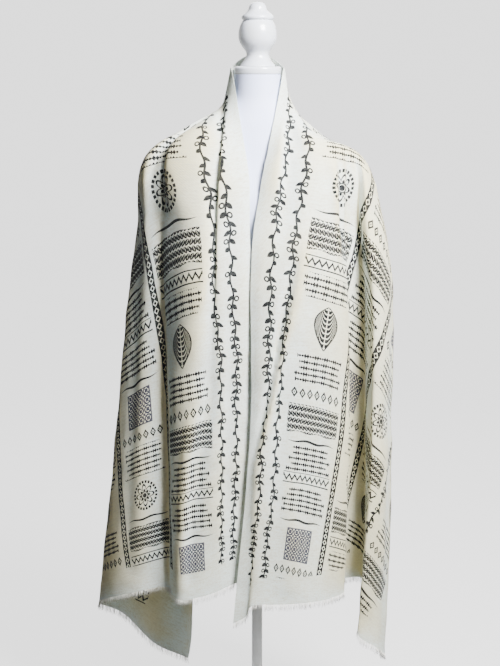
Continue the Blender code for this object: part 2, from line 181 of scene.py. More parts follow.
class Motif(enum.IntEnum):
    """What a block of the printed design holds."""

    PLAIN = 0
    LATTICE = 1
    SEED_ROWS = 2
    LEAF_BAND = 3
    ZIGZAG = 4
    TALL_LEAF = 5
    ROSETTE = 6
    RULE = 7
    LOZENGES = 8


class Lane(enum.IntEnum):
    """What a lane along the cloth holds."""

    PLAIN = 0
    VINE = 1
    BLOCKS = 2
    CHAIN = 3


class LaneRow(NamedTuple):
    """A lane of the print: its kind, both sides as distances from the inner edge, and its shift."""

    lane: Lane
    start: float
    stop: float
    shift: float = 0.0


LANES = tuple(LaneRow(*row) for row in (
    (Lane.PLAIN, 0.0, 2.2),
    (Lane.VINE, 2.2, 5.8, 0.0),
    (Lane.VINE, 6.0, 9.6, 0.31),
    (Lane.BLOCKS, 10.0, 23.6, 0.02),
    (Lane.CHAIN, 23.9, 26.3),
    (Lane.BLOCKS, 26.6, 40.2, 0.43),
    (Lane.CHAIN, 40.5, 42.7),
    (Lane.BLOCKS, 43.1, 56.7, 0.71),
    (Lane.VINE, 57.0, 60.8, 0.57),
    (Lane.BLOCKS, 61.2, 74.8, 0.88),
    (Lane.PLAIN, 74.8, 96.0),
))

BLOCKS = (
    (Motif.SEED_ROWS, 5.5), (Motif.PLAIN, 0.8), (Motif.RULE, 1.5), (Motif.PLAIN, 0.6),
    (Motif.LATTICE, 7.8), (Motif.PLAIN, 0.9), (Motif.LOZENGES, 2.4), (Motif.PLAIN, 0.7),
    (Motif.SEED_ROWS, 6.6), (Motif.PLAIN, 0.9), (Motif.ROSETTE, 7.4), (Motif.PLAIN, 0.8),
    (Motif.RULE, 1.5), (Motif.PLAIN, 0.6), (Motif.LEAF_BAND, 5.8), (Motif.PLAIN, 0.8),
    (Motif.ZIGZAG, 2.4), (Motif.PLAIN, 0.6), (Motif.SEED_ROWS, 4.4), (Motif.PLAIN, 0.8),
    (Motif.TALL_LEAF, 8.2), (Motif.PLAIN, 0.8), (Motif.SEED_ROWS, 5.5), (Motif.PLAIN, 0.8),
    (Motif.LOZENGES, 2.4), (Motif.PLAIN, 0.6), (Motif.LEAF_BAND, 5.8), (Motif.PLAIN, 0.8),
    (Motif.RULE, 1.5), (Motif.SEED_ROWS, 5.5), (Motif.ZIGZAG, 2.4), (Motif.PLAIN, 0.8),
)

# A look-up ramp holds whole codes as shares of this number.
MOST_CODES = 10.0


@dataclass(frozen=True)
class MotifSizes:
    """Sizes of the printed motifs, in metres. The formulas call them by these names."""

    block_half: float = 0.0665
    tile_half: float = 0.038
    tile_frame: float = 0.0363
    tile_cell: float = 0.019
    seed_row: float = 0.011
    seed_step: float = 0.0058
    seed_low: float = 0.0027
    seed_rise: float = 0.0019
    row_half: float = 0.063
    row_ragged: float = 0.016
    leaf_row: float = 0.0115
    leaf_step: float = 0.0092
    band_half: float = 0.0275
    band_wave: float = 0.0015
    zigzag_step: float = 0.0145
    zigzag_rise: float = 0.0052
    zigzag_line: float = 0.0031
    zigzag_rule: float = 0.0108
    zigzag_rule_line: float = 0.0014
    leaf_half: float = 0.04
    leaf_girth: float = 0.027
    leaf_outline: float = 0.0016
    leaf_midrib: float = 0.0011
    vein_step: float = 0.0088
    petal_foot: float = 0.0125
    petal_reach: float = 0.0115
    petal_line: float = 0.0023
    hub: float = 0.0056
    hub_ring: float = 0.0079
    hub_line: float = 0.0010
    petal_start: float = 0.009
    bead_ring: float = 0.0308
    bead: float = 0.0031
    rule_wave: float = 0.0016
    rule_line: float = 0.0025
    lozenge_step: float = 0.0185
    lozenge_half: float = 0.0105
    vine_step: float = 0.0136
    vine_wave: float = 0.0028
    vine_drift: float = 0.0014
    stem_line: float = 0.0019
    leaf_off: float = 0.0026
    leaf_off_more: float = 0.0034
    vine_leaf: float = 0.0038
    ring_off: float = 0.0062
    ring_radius: float = 0.0036
    ring_line: float = 0.0014
    chain_step: float = 0.0135
    chain_half: float = 0.0085


@dataclass(frozen=True)
class PrintedCotton:
    """Screen-printed cotton muslin: a matt ivory cloth with soft slubs and matt dark inks."""

    name: str = "screen_printed_cotton_muslin"
    ivory: str = "eaf1eb"
    # The cream is partly painted shade, laid into the folds by their depth, and partly the dye's random
    # drift.
    cream: str = "e5dcb4"
    slub: str = "cdccbe"
    ink: str = "0c0e13"
    violet_ink: str = "26263f"
    roughness: float = 0.88
    sheen: float = 0.06
    see_through: float = 0.2
    # Muslin's threads lie 0.5 mm apart, under a quarter of a pixel here. They are drawn 2.4 mm
    # apart, so that the weave just shows.
    thread_spacing: float = 0.0024
    # A slub is 4 mm wide here and six times as long. Real ones are under 1 mm wide.
    slub_width: float = 0.00432
    slub_stretch: float = 0.16
    lanes_width: float = 0.96
    hem_margin: float = 0.062
    # Hand-fed cloth is never printed dead straight: the design wanders by 2 mm.
    wander: float = 0.008
    # Waves for each metre, and detail, of that wandering, of the ink's unevenness and of the
    # dye's drift over hand widths.
    wander_noise: Pair = (7.0, 1.0)
    ink_noise: Pair = (210.0, 2.0)
    drift_noise: Pair = (3.2, 2.0)
    specular: float = 0.15
    sheen_roughness: float = 0.5
    bump: Pair = (0.34, 0.0014)

    def ramp(
        self, tree: bpy.types.NodeTree, at: object, rows: list[tuple[float, Triple]]
    ) -> bpy.types.Node:
        """Adds a stepped look-up ramp.

        Args:
            tree: the material's node tree.
            at: the socket that is looked up, from 0 to 1.
            rows: for each step its start and its three values.

        Returns:
            A node whose three outputs are the step's values.
        """
        look_up = add_node(tree, "ShaderNodeValToRGB", None, {"Fac": at})
        steps = look_up.color_ramp
        steps.interpolation = "CONSTANT"
        steps.elements[0].position, steps.elements[0].color = 0.0, (*rows[0][1], 1.0)
        steps.elements.remove(steps.elements[1])
        for start, values in rows[1:]:
            steps.elements.new(start).color = (*values, 1.0)
        return add_node(tree, "ShaderNodeSeparateColor", None, {"Color": look_up.outputs["Color"]})

    def design(
        self, tree: bpy.types.NodeTree, along: object, across: object
    ) -> tuple[object, object]:
        """Adds the printed design: lanes along the cloth, filled with blocks and vines.

        Args:
            tree: the material's node tree.
            along: the socket with the distance from the neck's middle, the same on both falls.
            across: the socket with the distance from the inner edge.

        Returns:
            The sockets of the dark ink and of the violet ink, 0 to 1.
        """
        lanes = [
            (
                row.start * CM / self.lanes_width,
                (row.lane / MOST_CODES, (row.start + row.stop) / 2 * CM, row.shift),
            )
            for row in LANES
        ]
        length = sum(size for _, size in BLOCKS)
        starts = np.cumsum([0.0] + [size for _, size in BLOCKS])
        blocks = [
            (start / length, (motif / MOST_CODES, (start + size / 2) / length, size / 2 * CM))
            for start, (motif, size) in zip(starts, BLOCKS)
        ]
        f = Formula(tree, s=along, t=across, repeat=length * CM, **asdict(MotifSizes()))
        lane = self.ramp(tree, f("t / w", w=self.lanes_width), lanes).outputs
        f.known.update(lane=lane["Red"], lane_middle=lane["Green"], shift=lane["Blue"])
        f.keep(place="fract(s / repeat + shift)")
        block = self.ramp(tree, f.known["place"], blocks).outputs
        f.known.update(motif=block["Red"], block_middle=block["Green"], block_high=block["Blue"])
        f.keep(
            u="t - lane_middle",
            v="(place - block_middle) * repeat",
            inside="abs(v) < block_high",
        )

        def only(code: str, kind: enum.IntEnum) -> object:
            """The socket that is 1 where a lane or block is of this kind."""
            return f(f"abs({code} - kind) < 0.04", kind=kind / MOST_CODES)

        f.known["in_blocks"] = f("inside * k * (abs(u) < block_half)", k=only("lane", Lane.BLOCKS))
        # Names stand for metres. Bare numbers are shares, turns and curvatures.
        # Tile of rings and stars in a thin frame.
        f.keep(
            cell_u="fract(u / tile_cell) - 0.5",
            cell_v="fract(v / tile_cell) - 0.5",
            cell_r="sqrt(cell_u * cell_u + cell_v * cell_v)",
            rings="max(abs(cell_r - 0.4) < 0.095, abs(cell_r - 0.15) < 0.065)",
            stars="max(abs(abs(cell_u) - abs(cell_v)) < 0.075, abs(cell_u) + abs(cell_v) > 0.82)",
            tile_r="max(abs(u), abs(v))",
            tile="max(max(rings, stars), tile_r > tile_frame) * (tile_r < tile_half)",
        )
        # Rows of seeds: a lozenge, two dots, a lozenge.
        f.keep(
            row="floor(v / seed_row + 0.5)",
            ragged="fract(sin(row * 12.9 + floor(place * 9)) * 43.7)",
            seed_at="u / seed_step + ragged * 0.37",
            seed_high="seed_low + seed_rise * (abs(floor(seed_at) % 4 - 1.5) < 1)",
            seed="abs(fract(seed_at) - 0.5) / 0.66 + abs(v - row * seed_row) / seed_high < 1",
            seeds="seed * (abs(u) < row_half - row_ragged * ragged)",
        )
        # Band of packed leaves that lean to and fro.
        f.keep(
            band_row="floor(v / leaf_row)",
            lean="(band_row % 2) * 2 - 1",
            a="fract(u / leaf_step + band_row * 0.5 + 0.25 * sin(band_row * 3)) - 0.5",
            b="fract(v / leaf_row) - 0.5",
            p="b + a * 0.25 * lean",
            q="a - b * 0.75 * lean",
            packed="(abs(q) < 0.46 * (1.3 - 3.6 * p * p)) * ((abs(q) > 0.035) + (p > 0.25) > 0.5)",
            leaves="packed * (abs(v) < band_half - band_wave * sin(u * 120))",
        )
        # Zigzag between two rules, a tapered wavy rule and a row of hollow lozenges.
        f.keep(
            bent="abs(v - zigzag_rise * (4 * abs(fract(u / zigzag_step) - 0.5) - 1)) < zigzag_line",
            zigzag="max(bent, abs(abs(v) - zigzag_rule) < zigzag_rule_line)",
            rule="abs(v - rule_wave * sin(u * 105)) < rule_line * (1 - u * u / 0.0042)",
            d="abs(fract(u / lozenge_step + 0.5) - 0.5) / 0.42 + abs(v) / lozenge_half",
            lozenges="(d < 1) * (d > 0.5) + (d < 0.24)",
        )
        # Single leaf, pointed at both ends, with slanting veins off a pale midrib.
        f.keep(
            girth="leaf_girth * (1 - v * v / 0.0016) * (1 - 9 * v)",
            veins="fract((v - 0.75 * abs(u) + 4 * u * u / 0.04) / vein_step) < 0.74",
            blade="veins * (abs(u) < girth) * (abs(u) > leaf_midrib)",
            tall_leaf="max(blade, abs(abs(u) - girth) < leaf_outline) * (abs(v) < leaf_half)",
        )
        # Rosette of eight petals in a beaded ring.
        f.keep(
            r="sqrt(u * u + v * v)",
            angle="atan2(v, u)",
            petal="petal_foot + petal_reach * abs(cos(angle * 4))",
            hubs="(r < hub) + (abs(r - hub_ring) < hub_line)",
            petals="max(abs(r - petal) < petal_line, (r < 0.62 * petal) * (r > petal_start))",
            beads="(abs(r - bead_ring) < bead) * (sin(angle * 24) > -0.5)",
            rosette="max(max(hubs, petals), beads)",
        )
        # Vines: a waving stem with a leaf to each side in turn, and a tendril ring now and then.
        f.keep(
            bend="s / vine_step",
            joint="floor(bend)",
            side="(joint % 2) * 2 - 1",
            chance="fract(sin(joint * 7.31 + shift * 40) * 91.7)",
            y="u - vine_wave * sin(bend * 1.5708) - vine_drift * sin(bend * 0.41)",
            a="(fract(bend) - 0.5) * vine_step",
            b="y * side - leaf_off - leaf_off_more * chance",
            p="b * 0.83 + a * 0.55",
            q="a * 0.83 - b * 0.55",
            leaf="abs(q) < vine_leaf * (1 - p * p / (0.000028 + 0.000046 * chance))",
            far="y + ring_off * side",
            tendril="(abs(sqrt(a * a + far * far) - ring_radius) < ring_line) * (chance > 0.55)",
            vine="max(max(abs(y) < stem_line, leaf), tendril)",
        )
        # Chain strip: pale lozenges left open in a dark strip.
        f.keep(
            link="abs(abs(u) / chain_step + abs(fract(s / chain_step) - 0.5) - 0.36) > 0.09",
            chain="(abs(u) < chain_half) * link",
        )
        dark = f("max(vine * k, chain * n)", k=only("lane", Lane.VINE), n=only("lane", Lane.CHAIN))
        for drawing, motif in (
            ("seeds", Motif.SEED_ROWS), ("leaves", Motif.LEAF_BAND), ("zigzag", Motif.ZIGZAG),
            ("tall_leaf", Motif.TALL_LEAF), ("rosette", Motif.ROSETTE), ("rule", Motif.RULE),
            ("lozenges", Motif.LOZENGES),
        ):
            dark = f(f"max(k, {drawing} * in_blocks * m)", k=dark, m=only("motif", motif))
        violet = f("tile * in_blocks * m", m=only("motif", Motif.LATTICE))
        return f("min(k, 1)", k=dark), violet

    def build(self) -> bpy.types.Material:
        """Makes the material."""
        made, tree = new_material(self.name)
        f = Formula(tree)
        place = add_node(tree, "ShaderNodeAttribute", {"attribute_name": "cloth_place"})
        place = place.outputs["Vector"]
        # This attribute paints shade: the deeper a fold, the more cream the cloth is tinted there.
        shade = add_node(tree, "ShaderNodeAttribute", {"attribute_name": "fold_depth"})
        wander, patchy, drift = (
            add_node(tree, "ShaderNodeTexNoise", None, {
                "Vector": place, "Scale": waves, "Detail": detail,
            }).outputs
            for waves, detail in (self.wander_noise, self.ink_noise, self.drift_noise)
        )
        wandering = add_node(tree, "ShaderNodeSeparateXYZ", None, {0: wander["Color"]}).outputs
        s, t, to_edge = add_node(tree, "ShaderNodeSeparateXYZ", None, {0: place}).outputs
        along = f("abs(s) + (n - 0.5) * w", s=s, n=wandering[0], w=self.wander)
        across = f("t + (n - 0.5) * w", t=t, n=wandering[1], w=self.wander)
        dark, violet = self.design(tree, along, across)
        # Ink sinks unevenly into the slubs, and stops short of the frayed edge.
        inside = f("(e > m) * (0.95 + 0.16 * (n - 0.35))", e=to_edge, m=self.hem_margin, n=patchy[0])
        dark = f("min(k * i, 1)", k=dark, i=inside)
        violet = f("min(k * i, 1) * 0.96", k=violet, i=inside)

        # Slubs lie along both threads.
        slubs = []
        for scale in ((self.slub_stretch, 1.0, 1.0), (1.0, self.slub_stretch, 1.0)):
            stretched = add_node(tree, "ShaderNodeMapping", None, {"Vector": place, "Scale": scale})
            slubs.append(add_node(tree, "ShaderNodeTexNoise", None, {
                "Vector": stretched.outputs[0], "Scale": 1 / self.slub_width, "Detail": 2.0,
            }).outputs[0])
        a, b = slubs
        # Painted shade: the folds are tinted cream by their depth. The dye's drift and the slubs add to
        # the same tint.
        fold_shade_and_drift = f("min(1, max(0, d * 0.9 + (n - 0.47) * 0.9 + (a + b - 1) * 0.6))",
                   d=shade.outputs["Fac"], n=drift[0], a=a, b=b)
        slub_share = f("min(1, max(0, (a + b - 0.92) * 1.3))", a=a, b=b)
        colour = linear(self.ivory)
        for share, over in (
            (fold_shade_and_drift, self.cream), (slub_share, self.slub), (violet, self.violet_ink), (dark, self.ink),
        ):
            colour = add_node(tree, "ShaderNodeMix", {"data_type": "RGBA"}, {
                0: share, 6: colour, 7: linear(over),
            }).outputs[2]
        threads = f("sin(s * w) * sin(t * w) * 0.35 + (a + b) * 1.1", s=s, t=t, a=a, b=b,
                    w=math.pi / self.thread_spacing)
        strength, depth = self.bump
        bump = add_node(tree, "ShaderNodeBump", None, {
            "Strength": strength, "Distance": depth, "Height": threads,
        })
        shader = add_node(tree, "ShaderNodeBsdfPrincipled", None, {
            "Base Color": colour, "Roughness": self.roughness, "Specular IOR Level": self.specular,
            "Sheen Weight": self.sheen, "Sheen Roughness": self.sheen_roughness,
            "Normal": bump.outputs[0],
        })
        # Thin muslin lets a fifth of the light through, so hanging corners glow a little.
        lit_through = add_node(tree, "ShaderNodeBsdfTranslucent", None, {"Color": colour})
        thin = add_node(tree, "ShaderNodeMixShader", None, {
            0: self.see_through, 1: shader.outputs[0], 2: lit_through.outputs[0],
        })
        add_node(tree, "ShaderNodeOutputMaterial", None, {"Surface": thin.outputs[0]})
        return made


@dataclass(frozen=True)
class TwoTone:
    """What the plainer finishes share: a second colour in clouds over the first, and a fine relief.

    clouds holds the clouds' waves for each metre, detail and roughness; span the noise values at
    which the second colour starts and is full, and its largest share; roughness its least and
    greatest value; grain the relief's waves for each metre, detail and stretch upwards; bump the
    relief's strength and depth; and shine any further values of the shader.
    """

    name: str
    colour: str
    second: str
    clouds: Triple
    span: Triple
    roughness: Pair
    grain: Triple
    bump: Pair
    shine: tuple[tuple[str, float], ...] = ()

    def relief(self, tree: bpy.types.NodeTree, place: object) -> object:
        """Adds the relief.

        Args:
            tree: the material's node tree.
            place: the socket with the object's own coordinates.

        Returns:
            The socket with the relief's height.
        """
        waves, detail, stretch = self.grain
        drawn_out = add_node(tree, "ShaderNodeMapping", None, {
            "Vector": place, "Scale": (1.0, 1.0, 1.0 / stretch),
        })
        return add_node(tree, "ShaderNodeTexNoise", None, {
            "Vector": drawn_out.outputs[0], "Scale": waves, "Detail": detail,
        }).outputs[0]

    def build(self) -> bpy.types.Material:
        """Makes the material."""
        made, tree = new_material(self.name)
        place = add_node(tree, "ShaderNodeTexCoord").outputs["Object"]
        waves, detail, rough = self.clouds
        clouds = add_node(tree, "ShaderNodeTexNoise", None, {
            "Vector": place, "Scale": waves, "Detail": detail, "Roughness": rough,
        }).outputs[0]
        start, full, share = self.span
        spread = add_node(tree, "ShaderNodeMapRange", None, {
            "Value": clouds, "From Min": start, "From Max": full, "To Max": share,
        })
        colour = add_node(tree, "ShaderNodeMix", {"data_type": "RGBA"}, {
            0: spread.outputs[0], 6: linear(self.colour), 7: linear(self.second),
        })
        least, greatest = self.roughness
        roughness = least if least == greatest else add_node(tree, "ShaderNodeMapRange", None, {
            "Value": clouds, "To Min": least, "To Max": greatest,
        }).outputs[0]
        strength, depth = self.bump
        bump = add_node(tree, "ShaderNodeBump", None, {
            "Strength": strength, "Distance": depth, "Height": self.relief(tree, place),
        })
        shader = add_node(tree, "ShaderNodeBsdfPrincipled", None, {
            "Base Color": colour.outputs[2], "Roughness": roughness, "Normal": bump.outputs[0],
            **dict(self.shine),
        })
        add_node(tree, "ShaderNodeOutputMaterial", None, {"Surface": shader.outputs[0]})
        return made


@dataclass(frozen=True)
class FrayedCotton(TwoTone):
    """Loose cotton threads drawn from the weave: matt, soft and as pale as the cloth."""

    name: str = "loose_cotton_threads"
    colour: str = "f4f2ea"
    second: str = "e0ddd2"
    # A twist every 3 mm: the second colour paints its shade on each thread as light and dark steps.
    clouds: Triple = (330.0, 2.0, 0.5)
    span: Triple = (0.0, 1.0, 1.0)
    roughness: Pair = (0.95, 0.95)
    grain: Triple = (330.0, 2.0, 1.0)
    bump: Pair = (0.3, 0.0003)
    shine: tuple[tuple[str, float], ...] = (("Specular IOR Level", 0.2),)


@dataclass(frozen=True)
class FormJersey(TwoTone):
    """Knitted polyester jersey pulled over padding: fine vertical ribs with a faint cool sheen."""

    name: str = "knitted_form_jersey"
    colour: str = "dde4ff"
    second: str = "ced7fc"
    clouds: Triple = (16.0, 3.0, 0.5)
    span: Triple = (0.0, 1.0, 1.0)
    roughness: Pair = (0.8, 0.8)
    grain: Triple = (900.0, 1.0, 1.0)
    bump: Pair = (0.15, 0.0006)
    shine: tuple[tuple[str, float], ...] = (("Sheen Weight", 0.3), ("Sheen Roughness", 0.4))
    # Ribs of 0.8 mm would not show, so they are drawn 2.5 mm apart, at 60 mm from the axis.
    rib_spacing: float = 0.0025
    rib_radius: float = 0.06

    def relief(self, tree: bpy.types.NodeTree, place: object) -> object:
        """Adds ribs and stitches to the fuzz.

        Args:
            tree: the material's node tree.
            place: the socket with the object's own coordinates.

        Returns:
            The socket with the relief's height.
        """
        x, y, z = add_node(tree, "ShaderNodeSeparateXYZ", None, {0: place}).outputs
        return Formula(tree)(
            "sin(atan2(y, x) * r * w) + 0.4 * sin(z * w) + n", x=x, y=y, z=z, r=self.rib_radius,
            w=2 * math.pi / self.rib_spacing, n=super().relief(tree, place),
        )


@dataclass(frozen=True)
class WhiteLacquer(TwoTone):
    """Turned hardwood under white gloss lacquer: clear highlights over a barely seen grain."""

    name: str = "white_gloss_lacquer_on_turned_wood"
    colour: str = "cdd1da"
    second: str = "c6c8ca"
    clouds: Triple = (30.0, 4.0, 0.5)
    span: Triple = (0.45, 0.8, 1.0)
    roughness: Pair = (0.2, 0.36)
    # Grain lines 4 mm apart, drawn out along the turning.
    grain: Triple = (250.0, 3.0, 1 / 0.12)
    bump: Pair = (0.08, 0.0004)
    shine: tuple[tuple[str, float], ...] = (("Coat Weight", 0.35), ("Coat Roughness", 0.12))


@dataclass(frozen=True)
class PowderCoat(TwoTone):
    """Powder-coated steel: satin white with a fine orange peel and slightly rubbed edges."""

    name: str = "white_powder_coated_steel"
    colour: str = "f6f6f6"
    second: str = "e6e5e2"
    clouds: Triple = (14.0, 6.0, 0.7)
    span: Triple = (0.55, 0.75, 0.7)
    roughness: Pair = (0.38, 0.6)
    # Orange peel of about 1.5 mm, drawn at 3 mm so that it shows.
    grain: Triple = (1 / 0.003, 1.0, 1.0)
    bump: Pair = (0.12, 0.0004)


@dataclass(frozen=True)
class StudioPaper:
    """Seamless backdrop paper: flat, matt and pale, with a glow that keeps it even."""

    name: str = "pale_backdrop_paper"
    colour: str = "8c8c8c"
    glow: float = 7.8

    def build(self) -> bpy.types.Material:
        """Makes the material."""
        made, tree = new_material(self.name)
        coordinates = add_node(tree, "ShaderNodeTexCoord")
        tooth = add_node(tree, "ShaderNodeTexNoise", None, {
            "Vector": coordinates.outputs["Object"], "Scale": 260.0, "Detail": 2.0,
        })
        bump = add_node(tree, "ShaderNodeBump", None, {
            "Strength": 0.05, "Distance": 0.0005, "Height": tooth.outputs[0],
        })
        shader = add_node(tree, "ShaderNodeBsdfPrincipled", None, {
            "Base Color": linear(self.colour), "Roughness": 0.95, "Specular IOR Level": 0.1,
            "Emission Color": linear(self.colour), "Emission Strength": self.glow,
            "Normal": bump.outputs[0],
        })
        add_node(tree, "ShaderNodeOutputMaterial", None, {"Surface": shader.outputs[0]})
        return made


# Shapes

def through(points: np.ndarray, knots: np.ndarray, at: np.ndarray) -> np.ndarray:
    """Reads a smooth curve through points.

    Args:
        points: one row for each knot.
        knots: the knots' rising values.
        at: the values at which the curve is read.

    Returns:
        One row for each value read.
    """
    points, knots, at = (np.asarray(values, float) for values in (points, knots, at))
    steps = np.diff(knots)
    shape = (-1,) + (1,) * (points.ndim - 1)
    slopes = np.diff(points, axis=0) / steps.reshape(shape)
    tangents = np.empty_like(points)
    tangents[0], tangents[-1] = slopes[0], slopes[-1]
    before, after = steps[:-1].reshape(shape), steps[1:].reshape(shape)
    tangents[1:-1] = (slopes[:-1] * after + slopes[1:] * before) / (before + after)
    span = np.clip(np.searchsorted(knots, at, side="right") - 1, 0, len(steps) - 1)
    width = steps[span].reshape(shape)
    t = ((at - knots[span]) / steps[span]).reshape(shape)
    return (
        points[span] * (1 + 2 * t) * (1 - t) ** 2
        + tangents[span] * width * t * (1 - t) ** 2
        + points[span + 1] * t * t * (3 - 2 * t)
        - tangents[span + 1] * width * t * t * (1 - t)
    )


def finished(
    name: str,
    bm: bmesh.types.BMesh,
    finish: bpy.types.Material,
    slot: str,
    *nodes: str,
    sharp: float | None = None,
) -> bpy.types.Object:
    """Makes a shaped mesh a piece of the object.

    Args:
        name: the piece's name.
        bm: the shaped mesh, which is freed.
        finish: its material.
        slot: the record's material slot; not used.
        nodes: the CAD nodes that it stands for.
        sharp: the angle in degrees from which an edge is sharp.

    Returns:
        The piece, riding on the part's one body.
    """
    mesh = bpy.data.meshes.new(name)
    bm.to_mesh(mesh)
    bm.free()
    mesh.materials.append(finish)
    mesh.shade_smooth()
    if sharp is not None:
        mesh.set_sharp_from_angle(angle=math.radians(sharp))
    piece = bpy.data.objects.new(name, mesh)
    bpy.context.scene.collection.objects.link(piece)
    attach(piece, "root")
    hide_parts(*nodes)
    log.info("%s: %d faces", name, len(mesh.polygons))
    return piece


def turned(profile: list[Pair], steps: int) -> bmesh.types.BMesh:
    """Spins a profile about the pole's axis.

    Args:
        profile: radius and height of each point, in centimetres.
        steps: steps of the full turn.

    Returns:
        The closed, outward-facing mesh.
    """
    bm = bmesh.new()
    points = [bm.verts.new((radius * CM, 0.0, height * CM)) for radius, height in profile]
    edges = [bm.edges.new(pair) for pair in zip(points, points[1:])]
    bmesh.ops.spin(
        bm, geom=points + edges, cent=(0, 0, 0), axis=(0, 0, 1), dvec=(0, 0, 0),
        angle=2 * math.pi, steps=steps, use_merge=True, use_duplicate=False,
    )
    bmesh.ops.remove_doubles(bm, verts=bm.verts, dist=1e-5)
    bmesh.ops.recalc_face_normals(bm, faces=bm.faces)
    return bm


class TorsoRow(NamedTuple):
    """One level of the torso: half its width, and its depth in front of and behind the pole."""

    z: float
    half_width: float
    front: float
    back: float


@dataclass
class DressForm:
    """The padded, limbless torso and its neck, in centimetres."""

    neck_radius: float = 5.3
    neck_top: float = 153.87
    bottom: float = 76.0
    sides: int = 96
    # Ranges of ring heights with their steps: close over the shoulders and the bottom's edge.
    bottom_rings: tuple[float, ...] = (76.0, 76.35, 76.9)
    body_rings: Triple = (77.6, 134, 0.9)
    shoulder_rings: Triple = (134.2, 150.5, 0.5)
    neck_rings: tuple[float, ...] = (151.2, 152.2, 153.2, 153.87)
    clearing_rounds: int = 12
    clearing_nudge: float = 0.05
    rows: tuple[TorsoRow, ...] = tuple(TorsoRow(*row) for row in (
        (76.0, 15.6, 9.6, 10.6),
        (77.5, 16.6, 10.4, 11.6),
        (85.0, 17.2, 11.0, 12.4),
        (94.0, 15.6, 10.6, 11.0),
        (104.0, 13.0, 9.6, 9.2),
        (113.0, 14.2, 11.4, 9.6),
        (121.0, 16.2, 13.8, 10.4),
        (127.0, 17.4, 13.2, 10.6),
        (132.0, 18.4, 11.0, 10.2),
        (135.5, 18.6, 9.6, 9.2),
        (138.0, 16.6, 8.8, 8.4),
        (140.5, 14.0, 8.0, 7.8),
        (143.0, 11.0, 7.2, 7.4),
        (145.5, 7.9, 6.2, 6.8),
        (148.0, 5.9, 5.5, 5.9),
        (151.0, 5.3, 5.3, 5.3),
        (153.87, 5.3, 5.3, 5.3),
    ))

    def sizes(self, heights: np.ndarray) -> np.ndarray:
        """Reads the form's half width, front depth and back depth.

        Args:
            heights: the heights that are read.

        Returns:
            One row of three sizes for each height.
        """
        table = np.array(self.rows)
        return through(table[:, 1:], table[:, 0], np.clip(heights, table[0, 0], table[-1, 0]))

    def level(self, points: np.ndarray) -> np.ndarray:
        """How far out of the form each point lies, as a ratio: 1 on its surface."""
        half_width, front, back = self.sizes(points[:, 2]).T
        depth = np.where(points[:, 1] < 0, front, back)
        return np.hypot(points[:, 0] / half_width, points[:, 1] / depth)

    def cleared(self, points: np.ndarray, clearance: float) -> np.ndarray:
        """Moves points out along the form's slope where they are nearer than a clearance.

        Args:
            points: any number of points.
            clearance: the least distance from the form's surface.

        Returns:
            The points, moved.
        """
        points = points.copy()
        near = np.flatnonzero(points[:, 2] >= self.bottom - 1.0)
        nudge = self.clearing_nudge
        for _ in range(self.clearing_rounds):
            here = points[near]
            slope = np.stack(
                [
                    (self.level(here + nudge * axis) - self.level(here - nudge * axis)) / (2 * nudge)
                    for axis in np.eye(3)
                ],
                axis=1,
            )
            steepness = np.linalg.norm(slope, axis=1)
            short = clearance - (self.level(here) - 1) / steepness
            step = np.where(short > 1e-4, short * 0.9, 0.0) / steepness
            points[near] += slope * step[:, None]
        return points

    def build(self, finish: bpy.types.Material) -> list[bpy.types.Object]:
        """Builds the torso as rings joined from the bottom plate to the neck.

        Args:
            finish: the jersey.

        Returns:
            The torso.
        """
        heights = np.concatenate([
            self.bottom_rings, np.arange(*self.body_rings), np.arange(*self.shoulder_rings),
            self.neck_rings,
        ])
        bm = bmesh.new()
        rings = []
        for z, (half_width, front, back) in zip(heights, self.sizes(heights)):
            verts = bmesh.ops.create_circle(bm, segments=self.sides, radius=1.0)["verts"]
            for vertex in verts:
                depth = front if vertex.co.y < 0 else back
                vertex.co = Vector((vertex.co.x * half_width, vertex.co.y * depth, z)) * CM
            rings.append(list({edge for vertex in verts for edge in vertex.link_edges}))
        for lower, upper in zip(rings, rings[1:]):
            bmesh.ops.bridge_loops(bm, edges=lower + upper)
        bmesh.ops.holes_fill(bm, edges=rings[0] + rings[-1], sides=0)
        bmesh.ops.recalc_face_normals(bm, faces=bm.faces)
        return [finished("padded_torso", bm, finish, "form_jersey", "form_torso", sharp=50)]


